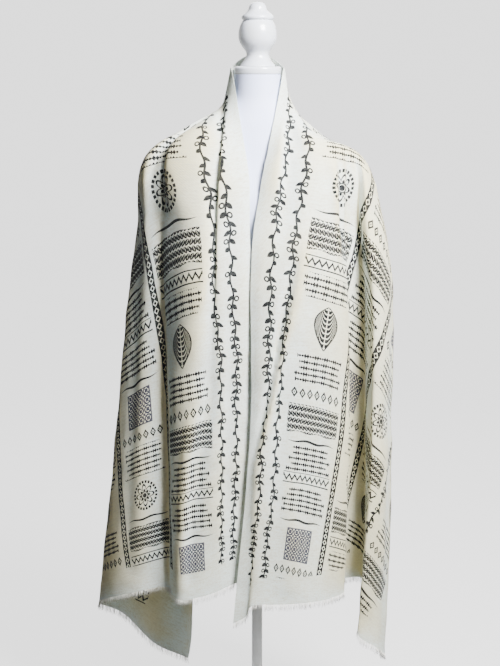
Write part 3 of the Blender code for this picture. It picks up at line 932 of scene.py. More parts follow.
@dataclass
class NeckTurning:
    """The turned plate on the neck and the ball and cap above it, in centimetres."""

    plate_foot: float = 153.9
    plate_rise: float = 1.75
    seat_gap: float = 0.03
    steps: int = 96
    plate: tuple[Pair, ...] = (
        (0.0, 1.75), (3.6, 1.75), (4.7, 1.73), (5.06, 1.66), (5.26, 1.52), (5.36, 1.34),
        (5.4, 1.12), (5.4, 0.5), (5.36, 0.22), (5.3, 0.06), (5.22, 0.0), (0.0, 0.0),
    )
    finial: tuple[Pair, ...] = (
        (0.0, 14.3), (0.45, 14.27), (0.9, 14.16), (1.3, 13.98), (1.6, 13.74), (1.82, 13.44),
        (1.95, 13.1), (2.02, 12.78), (2.14, 12.5), (2.36, 12.2), (2.68, 11.92), (3.04, 11.66),
        (3.34, 11.4), (3.54, 11.16), (3.62, 10.94), (3.62, 10.7), (3.54, 10.5), (3.38, 10.36),
        (3.3, 10.26), (3.36, 10.12), (3.56, 9.86), (3.8, 9.46), (4.0, 8.98), (4.16, 8.44),
        (4.28, 7.82), (4.34, 7.14), (4.33, 6.44), (4.22, 5.8), (4.02, 5.24), (3.74, 4.72),
        (3.4, 4.22), (3.06, 3.8), (2.78, 3.44), (2.6, 3.1), (2.52, 2.74), (2.54, 2.38),
        (2.66, 1.98), (2.88, 1.56), (3.16, 1.14), (3.48, 0.76), (3.74, 0.46), (3.92, 0.22),
        (4.0, 0.0), (0.0, 0.0),
    )

    def build(self, finish: bpy.types.Material) -> list[bpy.types.Object]:
        """Builds both turned pieces.

        Args:
            finish: the lacquered wood.

        Returns:
            The plate and the finial.
        """
        base = self.plate_foot + self.plate_rise + self.seat_gap
        plate = turned([(r, z + self.plate_foot) for r, z in self.plate], self.steps)
        finial = turned([(r, z + base) for r, z in self.finial], self.steps)
        return [
            finished(name, bm, finish, "white_painted_wood", node, sharp=42)
            for name, bm, node in (
                ("turned_neck_plate", plate, "neck_block"), ("turned_finial", finial, "neck_finial"),
            )
        ]


@dataclass
class Stand:
    """The round foot and the pole with its flange, in centimetres."""

    foot_radius: float = 18.0
    foot_rise: float = 1.4
    seat_gap: float = 0.03
    pole_radius: float = 1.25
    pole_top: float = 75.97
    steps: int = 96

    def build(self, finish: bpy.types.Material) -> list[bpy.types.Object]:
        """Builds the foot and the pole.

        Args:
            finish: the powder coat.

        Returns:
            The foot and the pole.
        """
        radius, rise = self.foot_radius, self.foot_rise
        foot = turned(
            [
                (0.0, rise), (3.6, rise), (8.0, rise), (radius - 1.2, rise),
                (radius - 0.75, rise - 0.07), (radius - 0.38, rise - 0.25),
                (radius - 0.12, rise - 0.5), (radius, rise - 0.82), (radius, 0.1),
                (radius - 0.06, 0.02), (radius - 0.12, 0.0), (0.0, 0.0),
            ],
            self.steps,
        )
        low = rise + self.seat_gap
        pole = turned(
            [
                (0.0, self.pole_top), (1.15, self.pole_top), (self.pole_radius, self.pole_top - 0.1),
                (self.pole_radius, 60.0), (self.pole_radius, 30.0), (self.pole_radius, low + 3.7),
                (1.5, low + 3.62), (1.86, low + 3.42), (2.0, low + 3.12), (2.08, low + 2.4),
                (2.3, low + 1.4), (2.6, low + 0.7), (3.0, low + 0.26), (3.4, low + 0.1),
                (3.4, low), (0.0, low),
            ],
            self.steps // 2,
        )
        return [
            finished(name, bm, finish, "white_painted_steel", node, sharp=42)
            for name, bm, node in (
                ("round_foot", foot, "stand_foot"), ("stand_tube", pole, "stand_pole"),
            )
        ]


# The shawl

class FoldLine(NamedTuple):
    """One ridge, valley or edge of the cloth, from the neck down, in centimetres.

    foot is the angle round the neck where the line leaves the collar: 0 at the side, minus to
    the front, 90 at the back. sag lowers the line between collar and shoulder. The points are
    at the shoulder, at chest height, half way down and at the cloth's lower edge.
    """

    name: str
    foot: float
    sag: float
    sx: float
    sy: float
    sz: float
    cx: float
    cy: float
    mx: float
    my: float
    ex: float
    ey: float
    ez: float


FOLD_LINES = tuple(FoldLine(*row) for row in (
    ("left inner edge", -38, 0, -2.1, -11.8, 133.0, -1.8, -14.8, -1.2, -15.0, -3.2, -15.0, 39.4),
    ("left edge turn", -28, 0, -4.6, -12.4, 133.6, -3.8, -15.8, -3.4, -15.9, -5.6, -15.6, 38.6),
    ("left collar roll", -16, 0, -8.2, -12.4, 135.4, -8.8, -16.8, -8.5, -17.2, -10.6, -17.0, 36.8),
    ("left collar crease", -6, 0, -8.0, -10.2, 136.6, -9.0, -15.8, -11.4, -17.1, -14.8, -17.4, 35.8),
    ("left front ridge", 2, 0, -12.6, -9.6, 139.4, -11.8, -16.8, -15.4, -17.3, -17.8, -16.9, 35.3),
    ("left under ridge", 8, 0, -18.6, -7.6, 138.6, -16.4, -14.6, -18.4, -15.7, -19.6, -14.9, 35.9),
    ("left side valley", 14, 0, -21.4, -4.6, 136.4, -21.8, -8.4, -21.4, -11.2, -21.2, -12.2, 37.0),
    ("left side ridge", 18, 0, -23.4, -3.6, 137.2, -24.8, -6.2, -26.8, -9.8, -28.2, -11.0, 35.3),
    ("left side turn", 24, 0, -24.2, -1.8, 137.0, -26.9, -2.6, -30.8, -5.6, -34.6, -6.6, 32.4),
    ("left outer fold", 32, 0, -24.4, 0.4, 136.6, -27.6, 0.6, -32.6, -1.0, -37.9, -1.0, 29.3),
    ("left back turn", 42, 0, -22.6, 4.0, 137.0, -24.6, 7.4, -29.2, 6.6, -32.4, 6.2, 23.8),
    ("left back ridge", 52, 0, -19.0, 6.4, 138.4, -19.6, 10.6, -23.6, 9.8, -25.0, 8.8, 15.2),
    ("left corner", 60, 0, -15.6, 7.6, 140.0, -15.2, 12.0, -18.4, 8.6, -16.9, 6.0, 12.5),
    ("left rise", 66, 0, -12.4, 8.2, 141.4, -11.4, 13.4, -14.8, 10.8, -16.4, 9.4, 44.0),
    ("left hollow", 72, 0, -9.2, 8.6, 142.8, -7.6, 12.6, -11.0, 12.0, -13.4, 11.6, 66.0),
    ("left swell", 80, 0, -4.8, 9.0, 144.2, -3.8, 13.8, -5.6, 14.8, -8.4, 17.6, 82.0),
    ("middle", 90, 0, 0.0, 9.2, 144.8, 0.2, 12.7, 0.2, 13.3, -0.8, 14.2, 88.0),
    ("right swell", 100, 0, 4.8, 9.0, 144.2, 4.2, 13.8, 6.2, 15.0, 7.2, 18.0, 84.0),
    ("right hollow", 108, 0, 9.2, 8.6, 142.6, 8.4, 12.6, 12.4, 12.8, 14.6, 12.6, 74.0),
    ("right rise", 114, 0, 12.6, 8.0, 141.0, 12.6, 13.2, 17.4, 13.2, 20.6, 15.0, 60.0),
    ("right side", 119, 1, 15.0, 7.4, 139.6, 16.6, 12.0, 22.6, 10.4, 27.8, 8.0, 40.0),
    ("right corner", 124, 1, 17.6, 6.2, 138.2, 21.0, 9.6, 28.0, 6.2, 29.6, 2.2, 15.6),
    ("right back turn", 134, 2, 20.4, 4.0, 137.2, 26.0, 6.0, 30.6, 2.6, 30.6, -0.4, 16.4),
    ("right outer fold", 146, 2, 22.6, 0.6, 136.4, 29.0, 0.6, 31.4, -2.0, 30.4, -3.4, 17.4),
    ("right fall front", 154, 2, 22.4, -2.8, 136.6, 27.8, -5.2, 29.6, -6.8, 27.8, -7.4, 20.6),
    ("right fall ridge", 160, 2, 21.6, -4.8, 137.0, 25.0, -8.4, 26.4, -9.0, 23.6, -8.6, 24.2),
    ("right fall flank", 164, 2, 21.0, -5.2, 137.2, 23.7, -6.4, 25.4, -5.2, 25.0, -4.2, 29.8),
    ("right deep valley", 168, 2, 20.4, -5.6, 137.4, 22.9, -4.6, 25.0, -0.8, 25.4, 1.2, 34.4),
    ("right recess", 172, 2, 19.8, -6.2, 137.6, 21.4, -6.2, 22.0, -3.2, 21.2, -1.8, 35.6),
    ("right under fold", 176, 2, 18.8, -6.8, 137.8, 19.4, -7.6, 19.7, -6.8, 18.7, -6.4, 35.2),
    ("right fold edge", 180, 2, 17.8, -7.8, 138.0, 19.4, -9.8, 21.0, -9.6, 20.2, -9.4, 34.9),
    ("right front turn", 186, 1, 15.0, -9.2, 138.4, 16.8, -13.2, 17.2, -14.0, 16.8, -14.2, 34.7),
    ("right front swell", 190, 0, 10.6, -10.4, 138.6, 10.6, -16.0, 9.6, -17.2, 9.8, -17.4, 34.7),
    ("right collar crease", 194, 0, 6.9, -9.8, 138.4, 5.4, -15.8, 4.8, -17.8, 4.6, -18.0, 34.6),
    ("right collar roll", 200, 0, 5.0, -12.2, 136.8, 3.6, -16.2, 2.2, -18.2, -1.2, -18.3, 34.5),
    ("right edge turn", 208, 0, 3.2, -12.2, 135.4, 1.2, -16.0, 0.0, -17.6, -2.7, -17.5, 31.5),
    ("right inner edge", 218, 0, 1.7, -11.6, 134.5, -0.8, -15.2, -1.6, -16.8, -5.6, -17.2, 29.8),
))
LEFT_CORNER, RIGHT_CORNER = (
    [line.name for line in FOLD_LINES].index(name) for name in ("left corner", "right corner")
)


class Crease(NamedTuple):
    """A soft ridge or trough: its path over (fold line number, height), width and depth in cm.

    A depth above 0 stands out of the cloth, and one below 0 sinks into it.
    """

    path: tuple[Pair, ...]
    width: float
    depth: float


CREASES = tuple(Crease(*row) for row in (
    # Left front: the soft ridge and trough down the panel, and the notch at its shoulder corner.
    (((3.5, 86), (3.9, 72), (4.0, 58), (4.0, 37)), 1.4, 0.7),
    (((2.6, 88), (3.2, 70), (3.4, 52), (3.3, 38)), 1.6, -0.75),
    (((5.5, 139), (5.6, 131), (5.8, 122)), 0.9, -1.0),
    (((6.0, 124), (6.0, 100), (6.0, 70), (6.0, 39)), 1.1, -1.1),
    (((1.4, 126), (1.5, 100), (1.6, 70), (1.4, 42)), 1.0, -0.4),
    (((3.2, 112), (3.6, 104), (4.3, 98)), 1.2, -0.3),
    (((2.3, 66), (2.0, 56), (1.8, 44)), 1.6, 0.3),
    # Left side.
    (((7.6, 118), (7.5, 90), (7.4, 60), (7.3, 38)), 1.8, -0.5),
    (((8.4, 112), (8.5, 80), (8.4, 45)), 1.6, 0.45),
    (((9.5, 122), (9.6, 84), (9.5, 40)), 1.6, -0.5),
    (((7.0, 133), (7.2, 124), (7.1, 112)), 1.0, 0.35),
    # Right front: the long slanting ridge, its trough, and two shallower folds beside them.
    (((32.0, 118), (32.2, 108), (32.6, 97), (33.1, 89), (34.0, 77), (34.7, 68), (34.7, 46)), 1.0, 1.1),
    (((32.4, 116), (32.6, 107), (33.0, 97), (33.6, 88), (34.5, 77), (35.1, 68)), 0.9, -1.1),
    (((31.6, 112), (31.9, 100), (32.3, 88), (32.9, 74), (33.4, 58)), 1.8, -0.35),
    (((31.4, 92), (31.3, 62), (31.5, 38)), 1.5, -0.3),
    (((32.6, 66), (32.4, 50), (32.6, 37)), 2.0, 0.35),
    (((33.4, 144), (32.5, 139), (31.8, 134)), 1.3, -0.3),
    # Right shoulder and the bundle below it.
    (((30.9, 135), (30.8, 126), (30.7, 112)), 0.9, 0.7),
    (((30.3, 136), (30.3, 127), (30.2, 112)), 0.8, -0.8),
    (((25.6, 110), (25.5, 80), (25.4, 50), (25.3, 28)), 0.9, -0.4),
    (((24.5, 120), (24.5, 90), (24.4, 60), (24.5, 26)), 1.2, 0.35),
    (((23.4, 122), (23.5, 90), (23.4, 50), (23.4, 20)), 1.3, -0.4),
    (((26.4, 128), (25.6, 118), (25.0, 104)), 1.1, 0.3),
    # Back: hanging folds, and two that sag between the shoulders.
    (((10.5, 130), (10.6, 100), (10.4, 60), (10.5, 28)), 1.5, -0.6),
    (((11.5, 126), (11.4, 95), (11.6, 60), (11.5, 22)), 1.5, 0.5),
    (((13.4, 128), (13.5, 100), (13.4, 62)), 1.6, -0.6),
    (((14.5, 132), (14.4, 110), (14.6, 78)), 1.5, 0.5),
    (((15.5, 122), (15.4, 108), (15.5, 88)), 1.6, -0.5),
    (((16.5, 116), (16.4, 104), (16.6, 92)), 1.8, 0.5),
    (((17.6, 122), (17.5, 106), (17.6, 86)), 1.5, -0.5),
    (((18.5, 134), (18.6, 105), (18.4, 76)), 1.5, 0.5),
    (((19.5, 132), (19.6, 100), (19.4, 60)), 1.6, -0.55),
    (((20.5, 128), (20.4, 90), (20.6, 42)), 1.6, 0.5),
    (((21.5, 124), (21.6, 80), (21.5, 24)), 1.5, -0.45),
    (((22.5, 118), (22.4, 74), (22.5, 22)), 1.5, 0.4),
    (((11.0, 131), (13.5, 123), (16.2, 119), (19.0, 123), (21.0, 130)), 1.8, -0.7),
    (((12.0, 136), (14.0, 131), (16.4, 128), (18.6, 131), (20.2, 135)), 1.6, 0.6),
))


class NetSolver:
    """Solves for one number at each point of a net whose rows are joined only to the next ones."""

    def __init__(self, matrix: np.ndarray, shape: tuple[int, int], held: np.ndarray) -> None:
        """Splits the net's matrix by rows.

        Args:
            matrix: how strongly each point is joined to each other one.
            shape: the net's rows and columns.
            held: the numbers of the points that don't move.
        """
        matrix = matrix.copy()
        matrix[held] = 0.0
        matrix[:, held] = 0.0
        matrix[held, held] = 1.0
        blocks = matrix.reshape(*shape, *shape)
        self.shape = shape
        self.links = [blocks[row, :, row + 1] for row in range(shape[0] - 1)]
        self.inverses = [np.linalg.inv(blocks[0, :, 0])]
        for row, link in enumerate(self.links, start=1):
            self.inverses.append(np.linalg.inv(blocks[row, :, row] - link.T @ self.inverses[-1] @ link))

    def solve(self, wanted: np.ndarray) -> np.ndarray:
        """Finds the points' numbers.

        Args:
            wanted: the pull on each free point, and the number of each held one.

        Returns:
            The number of each point.
        """
        wanted = wanted.reshape(self.shape).copy()
        for row, link in enumerate(self.links, start=1):
            wanted[row] -= link.T @ (self.inverses[row - 1] @ wanted[row - 1])
        found = np.empty(self.shape)
        found[-1] = self.inverses[-1] @ wanted[-1]
        for row in range(self.shape[0] - 2, -1, -1):
            found[row] = self.inverses[row] @ (wanted[row] - self.links[row] @ found[row + 1])
        return found.ravel()


@dataclass
class Shawl:
    """The woven length on the form, cut 78 cm wide and 271 cm long."""

    form: DressForm
    cut_width: float = 0.78
    cut_length: float = 2.71
    thickness: float = 0.0007
    rows: int = 150
    spacing: float = 0.66
    clearance: float = 0.28
    sharp_angle: float = 60.0
    # The collar: its height at the side and more behind, how far its upper edge stands off the
    # neck, how tightly the front gathers there, and the foot's height and spread.
    collar_side: float = 1.4
    collar_rise: float = 3.3
    collar_stand_off: float = 0.75
    collar_gather: float = 0.35
    collar_seat: float = 0.03
    foot_height: float = 147.8
    foot_rise: float = 3.4
    foot_spread: float = 2.4
    nape_hug: float = 0.7
    chest_height: float = 120.0
    # Pressing: how many grid columns a crease can reach, the steps of its path, how soon it
    # fades in, the rows of the collar, and the height and spread of the two uneven waves.
    crease_reach: int = 22
    crease_steps: int = 120
    crease_ease: float = 0.6
    collar_rows: int = 12
    waves: tuple[Pair, ...] = ((0.24, 8.0), (0.09, 3.2))
    calm_rows: float = 24.0
    calm_least: float = 0.25
    # Depth from the smoothed cloth at which a fold's painted cream shade counts in full, and the share
    # left out as flat.
    smoothing_rounds: int = 60
    full_fold: float = 1.1
    flat_share: float = 0.08
    # Laying out: the net, its rounds, the outline's first corners and the bounds of its weights.
    net_rows: int = 38
    net_columns: int = 92
    settling_steps: int = 140
    corner_lead: float = 30.0
    weakest: float = 0.03
    strongest: float = 30.0
    slimmest: float = 0.98
    levels: tuple[float, ...] = (0.0, 0.055, 0.12, 0.185, 0.32, 0.66, 1.0)
    lines: tuple[FoldLine, ...] = FOLD_LINES
    creases: tuple[Crease, ...] = CREASES
    stations: np.ndarray = field(init=False)
    grid: np.ndarray = field(init=False)

    def collar_points(self, angle: float) -> tuple[tuple[float, ...], tuple[float, ...]]:
        """Finds where a fold line starts.

        Args:
            angle: the angle round the neck.

        Returns:
            The point on the neck edge and the point at the collar's foot.
        """
        turn = math.radians(angle)
        behind, ahead = max(0.0, math.sin(turn)), max(0.0, -math.sin(turn))
        edge_turn = turn
        if ahead:
            side = math.pi if math.cos(turn) < 0 else 0.0
            edge_turn = side + (turn - side) * self.collar_gather
        edge = self.form.neck_radius + self.collar_stand_off
        rise = self.form.neck_top + self.collar_seat + self.collar_side + self.collar_rise * behind**2
        foot = self.form.neck_radius + self.foot_spread * (1 - ahead) - self.nape_hug * behind
        return (
            (-edge * math.cos(edge_turn), edge * math.sin(edge_turn), rise),
            (-foot * math.cos(turn), foot * math.sin(turn), self.foot_height + self.foot_rise * ahead),
        )

    def line_points(self, line: FoldLine) -> list[tuple[float, ...]]:
        """The points of one fold line, in the order of the levels."""
        edge, lower = self.collar_points(line.foot)
        shoulder = (line.sx, line.sy, line.sz)
        slope = [(a + b) / 2 for a, b in zip(lower, shoulder)]
        slope[2] -= line.sag
        return [
            edge, lower, tuple(slope), shoulder,
            (line.cx, line.cy, self.chest_height),
            (line.mx, line.my, (self.chest_height + line.ez) / 2),
            (line.ex, line.ey, line.ez),
        ]

    def drape(self) -> np.ndarray:
        """Lays the cloth's middle surface through the fold lines.

        Returns:
            The grid of points in centimetres: rows from the neck edge to the lower edge, columns
            from the left inner edge round the back to the right one.
        """
        at_rows = np.linspace(0, 1, self.rows)
        falls = np.array([through(self.line_points(line), self.levels, at_rows) for line in self.lines])
        chords = np.linalg.norm(np.diff(falls, axis=0), axis=2).mean(axis=1)
        knots = np.concatenate([[0.0], np.cumsum(np.sqrt(chords))])
        at, numbers = [0.0], [0.0]
        for i, (start, stop, chord) in enumerate(zip(knots, knots[1:], chords)):
            count = max(4, round(chord / self.spacing))
            at.extend(start + (stop - start) * (k + 1) / count for k in range(count))
            numbers.extend(i + (k + 1) / count for k in range(count))
        at = np.array(at)
        self.stations = np.array(numbers)
        grid = through(falls, knots, at).transpose(1, 0, 2)
        stops = (0, LEFT_CORNER, RIGHT_CORNER, len(knots) - 1)
        for first, last in zip(stops, stops[1:]):
            inside = (at >= knots[first]) & (at <= knots[last])
            heights = through(falls[first : last + 1, :, 2], knots[first : last + 1], at[inside])
            grid[:, inside, 2] = heights.T
        flat = self.form.cleared(grid.reshape(-1, 3), self.clearance)
        return flat.reshape(grid.shape)

    @staticmethod
    def normals(grid: np.ndarray) -> np.ndarray:
        """The outward direction at each grid point."""
        down = np.gradient(grid, axis=0)
        across = np.gradient(grid, axis=1)
        outward = np.cross(across, down)
        return outward / np.linalg.norm(outward, axis=2, keepdims=True)

    def creased(self, grid: np.ndarray) -> np.ndarray:
        """Presses the creases and a faint unevenness into the cloth.

        Args:
            grid: the smooth drape.

        Returns:
            The creased drape.
        """
        outward = self.normals(grid)
        moved = np.zeros(grid.shape[:2])
        for crease in self.creases:
            path = np.array(crease.path)
            steps = np.linspace(0, 1, self.crease_steps)
            course = through(path, np.linspace(0, 1, len(path)), steps)
            columns = np.interp(course[:, 0], self.stations, np.arange(len(self.stations)))
            low = int(max(0, columns.min() - self.crease_reach))
            high = int(columns.max() + self.crease_reach)
            points = []
            for column, height in zip(columns, course[:, 1]):
                left = int(min(column, grid.shape[1] - 2))
                fall = grid[:, left] * (1 - column + left) + grid[:, left + 1] * (column - left)
                fall = fall[self.collar_rows:]
                points.append([np.interp(-height, -fall[:, 2], fall[:, k]) for k in range(3)])
            points = np.array(points)
            patch = grid[:, low:high]
            gaps = np.linalg.norm(patch[:, :, None] - points, axis=3)
            nearest = gaps.argmin(axis=2)
            ease = np.sin(np.pi * steps) ** self.crease_ease
            profile = np.exp(-((gaps.min(axis=2) / crease.width) ** 2))
            moved[:, low:high] += crease.depth * profile * ease[nearest]
        waves = np.array([
            [
                sum(high * noise.noise(Vector(point) / wide) for high, wide in self.waves)
                for point in row
            ]
            for row in grid
        ])
        settle = np.clip(np.arange(grid.shape[0]) / self.calm_rows, self.calm_least, 1)[:, None]
        grid = grid + outward * (moved + waves * settle)[..., None]
        return self.form.cleared(grid.reshape(-1, 3), self.clearance).reshape(grid.shape)

    def net(self, grid: np.ndarray) -> tuple[np.ndarray, ...]:
        """Measures a coarse net of triangles over the cloth.

        Args:
            grid: the draped cloth in centimetres.

        Returns:
            The net's rows and columns in the grid, its triangles as point numbers, and each
            triangle laid flat from its lengths along the cloth.
        """
        rows = np.unique(np.linspace(0, grid.shape[0] - 1, self.net_rows).round().astype(int))
        columns = np.unique(np.linspace(0, grid.shape[1] - 1, self.net_columns).round().astype(int))
        step_down, step_across = np.diff(grid, axis=0), np.diff(grid, axis=1)
        down, across = np.linalg.norm(step_down, axis=2), np.linalg.norm(step_across, axis=2)
        lean = (step_down[:, :-1] * step_across[:-1]).sum(axis=2) / (down[:, :-1] * across[:-1])
        down_sum = np.concatenate([np.zeros((1, grid.shape[1])), np.cumsum(down, axis=0)])
        across_sum = np.concatenate(
            [np.zeros((grid.shape[0], 1)), np.cumsum(across, axis=1)], axis=1
        )
        a = np.diff(down_sum[np.ix_(rows, columns)], axis=0)
        b = np.diff(across_sum[np.ix_(rows, columns)], axis=1)
        lean = lean[np.ix_((rows[1:] + rows[:-1]) // 2, (columns[1:] + columns[:-1]) // 2)]
        side, top = (a[:, 1:] + a[:, :-1]) / 2, (b[1:] + b[:-1]) / 2
        slant = np.sqrt(side**2 + top**2 + 2 * side * top * lean)
        numbers = np.arange(len(rows) * len(columns)).reshape(len(rows), len(columns))
        first, below, beyond, beside = (
            part.ravel()
            for part in (numbers[:-1, :-1], numbers[1:, :-1], numbers[1:, 1:], numbers[:-1, 1:])
        )
        triangles = np.concatenate([np.stack([first, other, beyond], 1) for other in (below, beside)])
        # In each triangle the first side runs down or across, and the slant is shared.
        leg = np.concatenate([a[:, :-1].ravel(), b[:-1].ravel()])
        far = np.concatenate([b[1:].ravel(), a[:, 1:].ravel()])
        slant = np.tile(slant.ravel(), 2)
        most = self.slimmest * slant
        reach = np.clip((leg**2 + slant**2 - far**2) / (2 * leg), -most, most)
        height = np.sqrt(slant**2 - reach**2)
        half = len(first)
        laid = np.zeros((len(triangles), 3, 2))
        laid[:half, 1, 1], laid[half:, 1, 0] = leg[:half], leg[half:]
        laid[:half, 2] = np.stack([height[:half], reach[:half]], 1)
        laid[half:, 2] = np.stack([reach[half:], height[half:]], 1)
        return rows, columns, triangles, laid

    def flattened(self, grid: np.ndarray) -> np.ndarray:
        """Lays the draped cloth out flat, with its lengths and angles kept as near as they can be.

        Args:
            grid: the draped cloth in centimetres.

        Returns:
            For each point its place along the cloth from the neck's middle and across it from
            the inner edge, in centimetres.
        """
        rows, columns, triangles, laid = self.net(grid)
        shape = (len(rows), len(columns))
        count = shape[0] * shape[1]
        numbers = np.arange(count).reshape(shape)
        neck = np.linalg.norm(np.diff(grid[0], axis=0), axis=1).sum() / 2
        falls = (np.linalg.norm(np.diff(grid[:, k], axis=0), axis=1) for k in (0, -1))
        left, right = (neck + np.concatenate([[0], np.cumsum(fall)])[rows] for fall in falls)
        inner = np.unique(np.concatenate([numbers[0], numbers[:, 0], numbers[:, -1]]))

        # Start: a net drawn evenly between the inner edge and a straight outline.
        outline = np.zeros((*shape, 2))
        outline[0, :, 0] = np.linspace(-neck, neck, shape[1])
        outline[:, 0, 0], outline[:, -1, 0] = -left, right
        corners = [int(np.argmin(abs(self.stations[columns] - n))) for n in (LEFT_CORNER, RIGHT_CORNER)]
        knots = [0, *corners, shape[1] - 1]
        wide, lead = self.cut_width / CM, self.corner_lead
        ends = [-left[-1], lead - left[-1], right[-1] - lead, right[-1]]
        outline[-1, :, 0] = np.interp(range(shape[1]), knots, ends)
        outline[-1, :, 1] = np.interp(range(shape[1]), knots, [0, wide, wide, 0])
        held = np.unique(np.concatenate([inner, numbers[-1]]))
        pull = np.zeros((count, count))
        for i, j in ((0, 1), (1, 2), (0, 2)):
            pull[triangles[:, i], triangles[:, j]] = pull[triangles[:, j], triangles[:, i]] = 1.0
        spread = np.diag(pull.sum(axis=1)) - pull
        flat = outline.reshape(-1, 2)
        pulled = pull[:, held] @ flat[held]
        pulled[held] = flat[held]
        even = NetSolver(spread, shape, held)
        flat = np.stack([even.solve(pulled[:, axis]) for axis in (0, 1)], axis=1)

        # Settling: each triangle turns to fit the map, then the map fits the turned triangles.
        sides = ((1, 2, 0), (2, 0, 1), (0, 1, 2))
        weights, gaps = [], []
        for i, j, k in sides:
            p, q = laid[:, i] - laid[:, k], laid[:, j] - laid[:, k]
            cross = abs(p[:, 0] * q[:, 1] - p[:, 1] * q[:, 0])
            weight = (p * q).sum(axis=1) / np.maximum(cross, 1e-9)
            weights.append(np.clip(weight, self.weakest, self.strongest))
            gaps.append(laid[:, i] - laid[:, j])
        stiffness = np.zeros((count, count))
        for (i, j, _), weight in zip(sides, weights):
            a, b = triangles[:, i], triangles[:, j]
            for one, other, sign in ((a, a, 1), (b, b, 1), (a, b, -1), (b, a, -1)):
                np.add.at(stiffness, (one, other), sign * weight)
        pinned = (numbers[:1, shape[1] // 2], inner)
        fitted = [NetSolver(stiffness, shape, some) for some in pinned]
        for _ in range(self.settling_steps):
            fit = np.zeros((len(triangles), 2, 2))
            for (i, j, _), weight, gap in zip(sides, weights, gaps):
                here = flat[triangles[:, i]] - flat[triangles[:, j]]
                fit += weight[:, None, None] * here[:, :, None] * gap[:, None, :]
            turn = np.arctan2(fit[:, 1, 0] - fit[:, 0, 1], fit[:, 0, 0] + fit[:, 1, 1])
            cos, sin = np.cos(turn), np.sin(turn)
            turning = np.array([[cos, -sin], [sin, cos]]).transpose(2, 0, 1)
            wanted = np.zeros((count, 2))
            for (i, j, _), weight, gap in zip(sides, weights, gaps):
                force = weight[:, None] * np.einsum("nij,nj->ni", turning, gap)
                np.add.at(wanted, triangles[:, i], force)
                np.add.at(wanted, triangles[:, j], -force)
            for axis, (some, solver) in enumerate(zip(pinned, fitted)):
                wanted[some, axis] = 0.0
                flat[:, axis] = solver.solve(wanted[:, axis])
        flat = flat.reshape(*shape, 2)
        fine = through(flat, rows, np.arange(grid.shape[0]))
        return through(fine.transpose(1, 0, 2), columns, np.arange(grid.shape[1])).transpose(1, 0, 2)

    def build(self, finish: bpy.types.Material) -> list[bpy.types.Object]:
        """Builds the woven length.

        Args:
            finish: the printed cotton.

        Returns:
            The shawl.
        """
        self.grid = self.creased(self.drape())
        rows, columns = self.grid.shape[:2]
        flat = self.flattened(self.grid)
        down = np.linalg.norm(np.diff(self.grid, axis=0), axis=2)
        to_edge = np.concatenate([np.cumsum(down[::-1], axis=0)[::-1], np.zeros((1, columns))])
        place = np.dstack([flat, to_edge]) * CM

        bm = bmesh.new()
        bmesh.ops.create_grid(bm, x_segments=columns - 1, y_segments=rows - 1, size=1.0)
        bm.verts.ensure_lookup_table()
        layer = bm.verts.layers.float_vector.new("cloth_place")
        # Each point also keeps how deeply it is folded, which paints cream shade into the folds.
        shade_layer = bm.verts.layers.float.new("fold_depth")
        hollow = self.hollows()
        for vertex in bm.verts:
            column = round((vertex.co.x + 1) / 2 * (columns - 1))
            row = round((1 - vertex.co.y) / 2 * (rows - 1))
            vertex[layer] = place[row, column]
            vertex[shade_layer] = hollow[row, column]
            vertex.co = Vector(self.grid[row, column]) * CM
        bmesh.ops.recalc_face_normals(bm, faces=bm.faces)
        middle = min(bm.faces, key=lambda face: face.calc_center_median().y)
        if middle.normal.y > 0:
            bmesh.ops.reverse_faces(bm, faces=bm.faces)
        shawl = finished("draped_shawl", bm, finish, "shawl_cotton",
                         "shawl_left_fall", "shawl_back_fall", "shawl_right_fall")
        wall = shawl.modifiers.new("cloth thickness", "SOLIDIFY")
        wall.thickness = self.thickness
        wall.offset = 0.0
        # The thickness is made final, so that the cut edges can be sharp. Soft ones would draw a
        # dark hem.
        drawn = shawl.evaluated_get(bpy.context.evaluated_depsgraph_get())
        shawl.data = bpy.data.meshes.new_from_object(drawn)
        shawl.modifiers.clear()
        shawl.data.set_sharp_from_angle(angle=math.radians(self.sharp_angle))
        return [shawl]

    def hollows(self) -> np.ndarray:
        """How strongly the cloth is folded at each point, from 0 where it is flat to 1. It sets the
        painted cream shade in the folds.
        """
        outward = self.normals(self.grid)
        smooth = self.grid.copy()
        for _ in range(self.smoothing_rounds):
            smooth[1:-1, 1:-1] = (
                smooth[:-2, 1:-1] + smooth[2:, 1:-1] + smooth[1:-1, :-2] + smooth[1:-1, 2:]
            ) / 4
        depth = ((smooth - self.grid) * outward).sum(axis=2)
        return np.clip(abs(depth) / self.full_fold - self.flat_share, 0, 1)


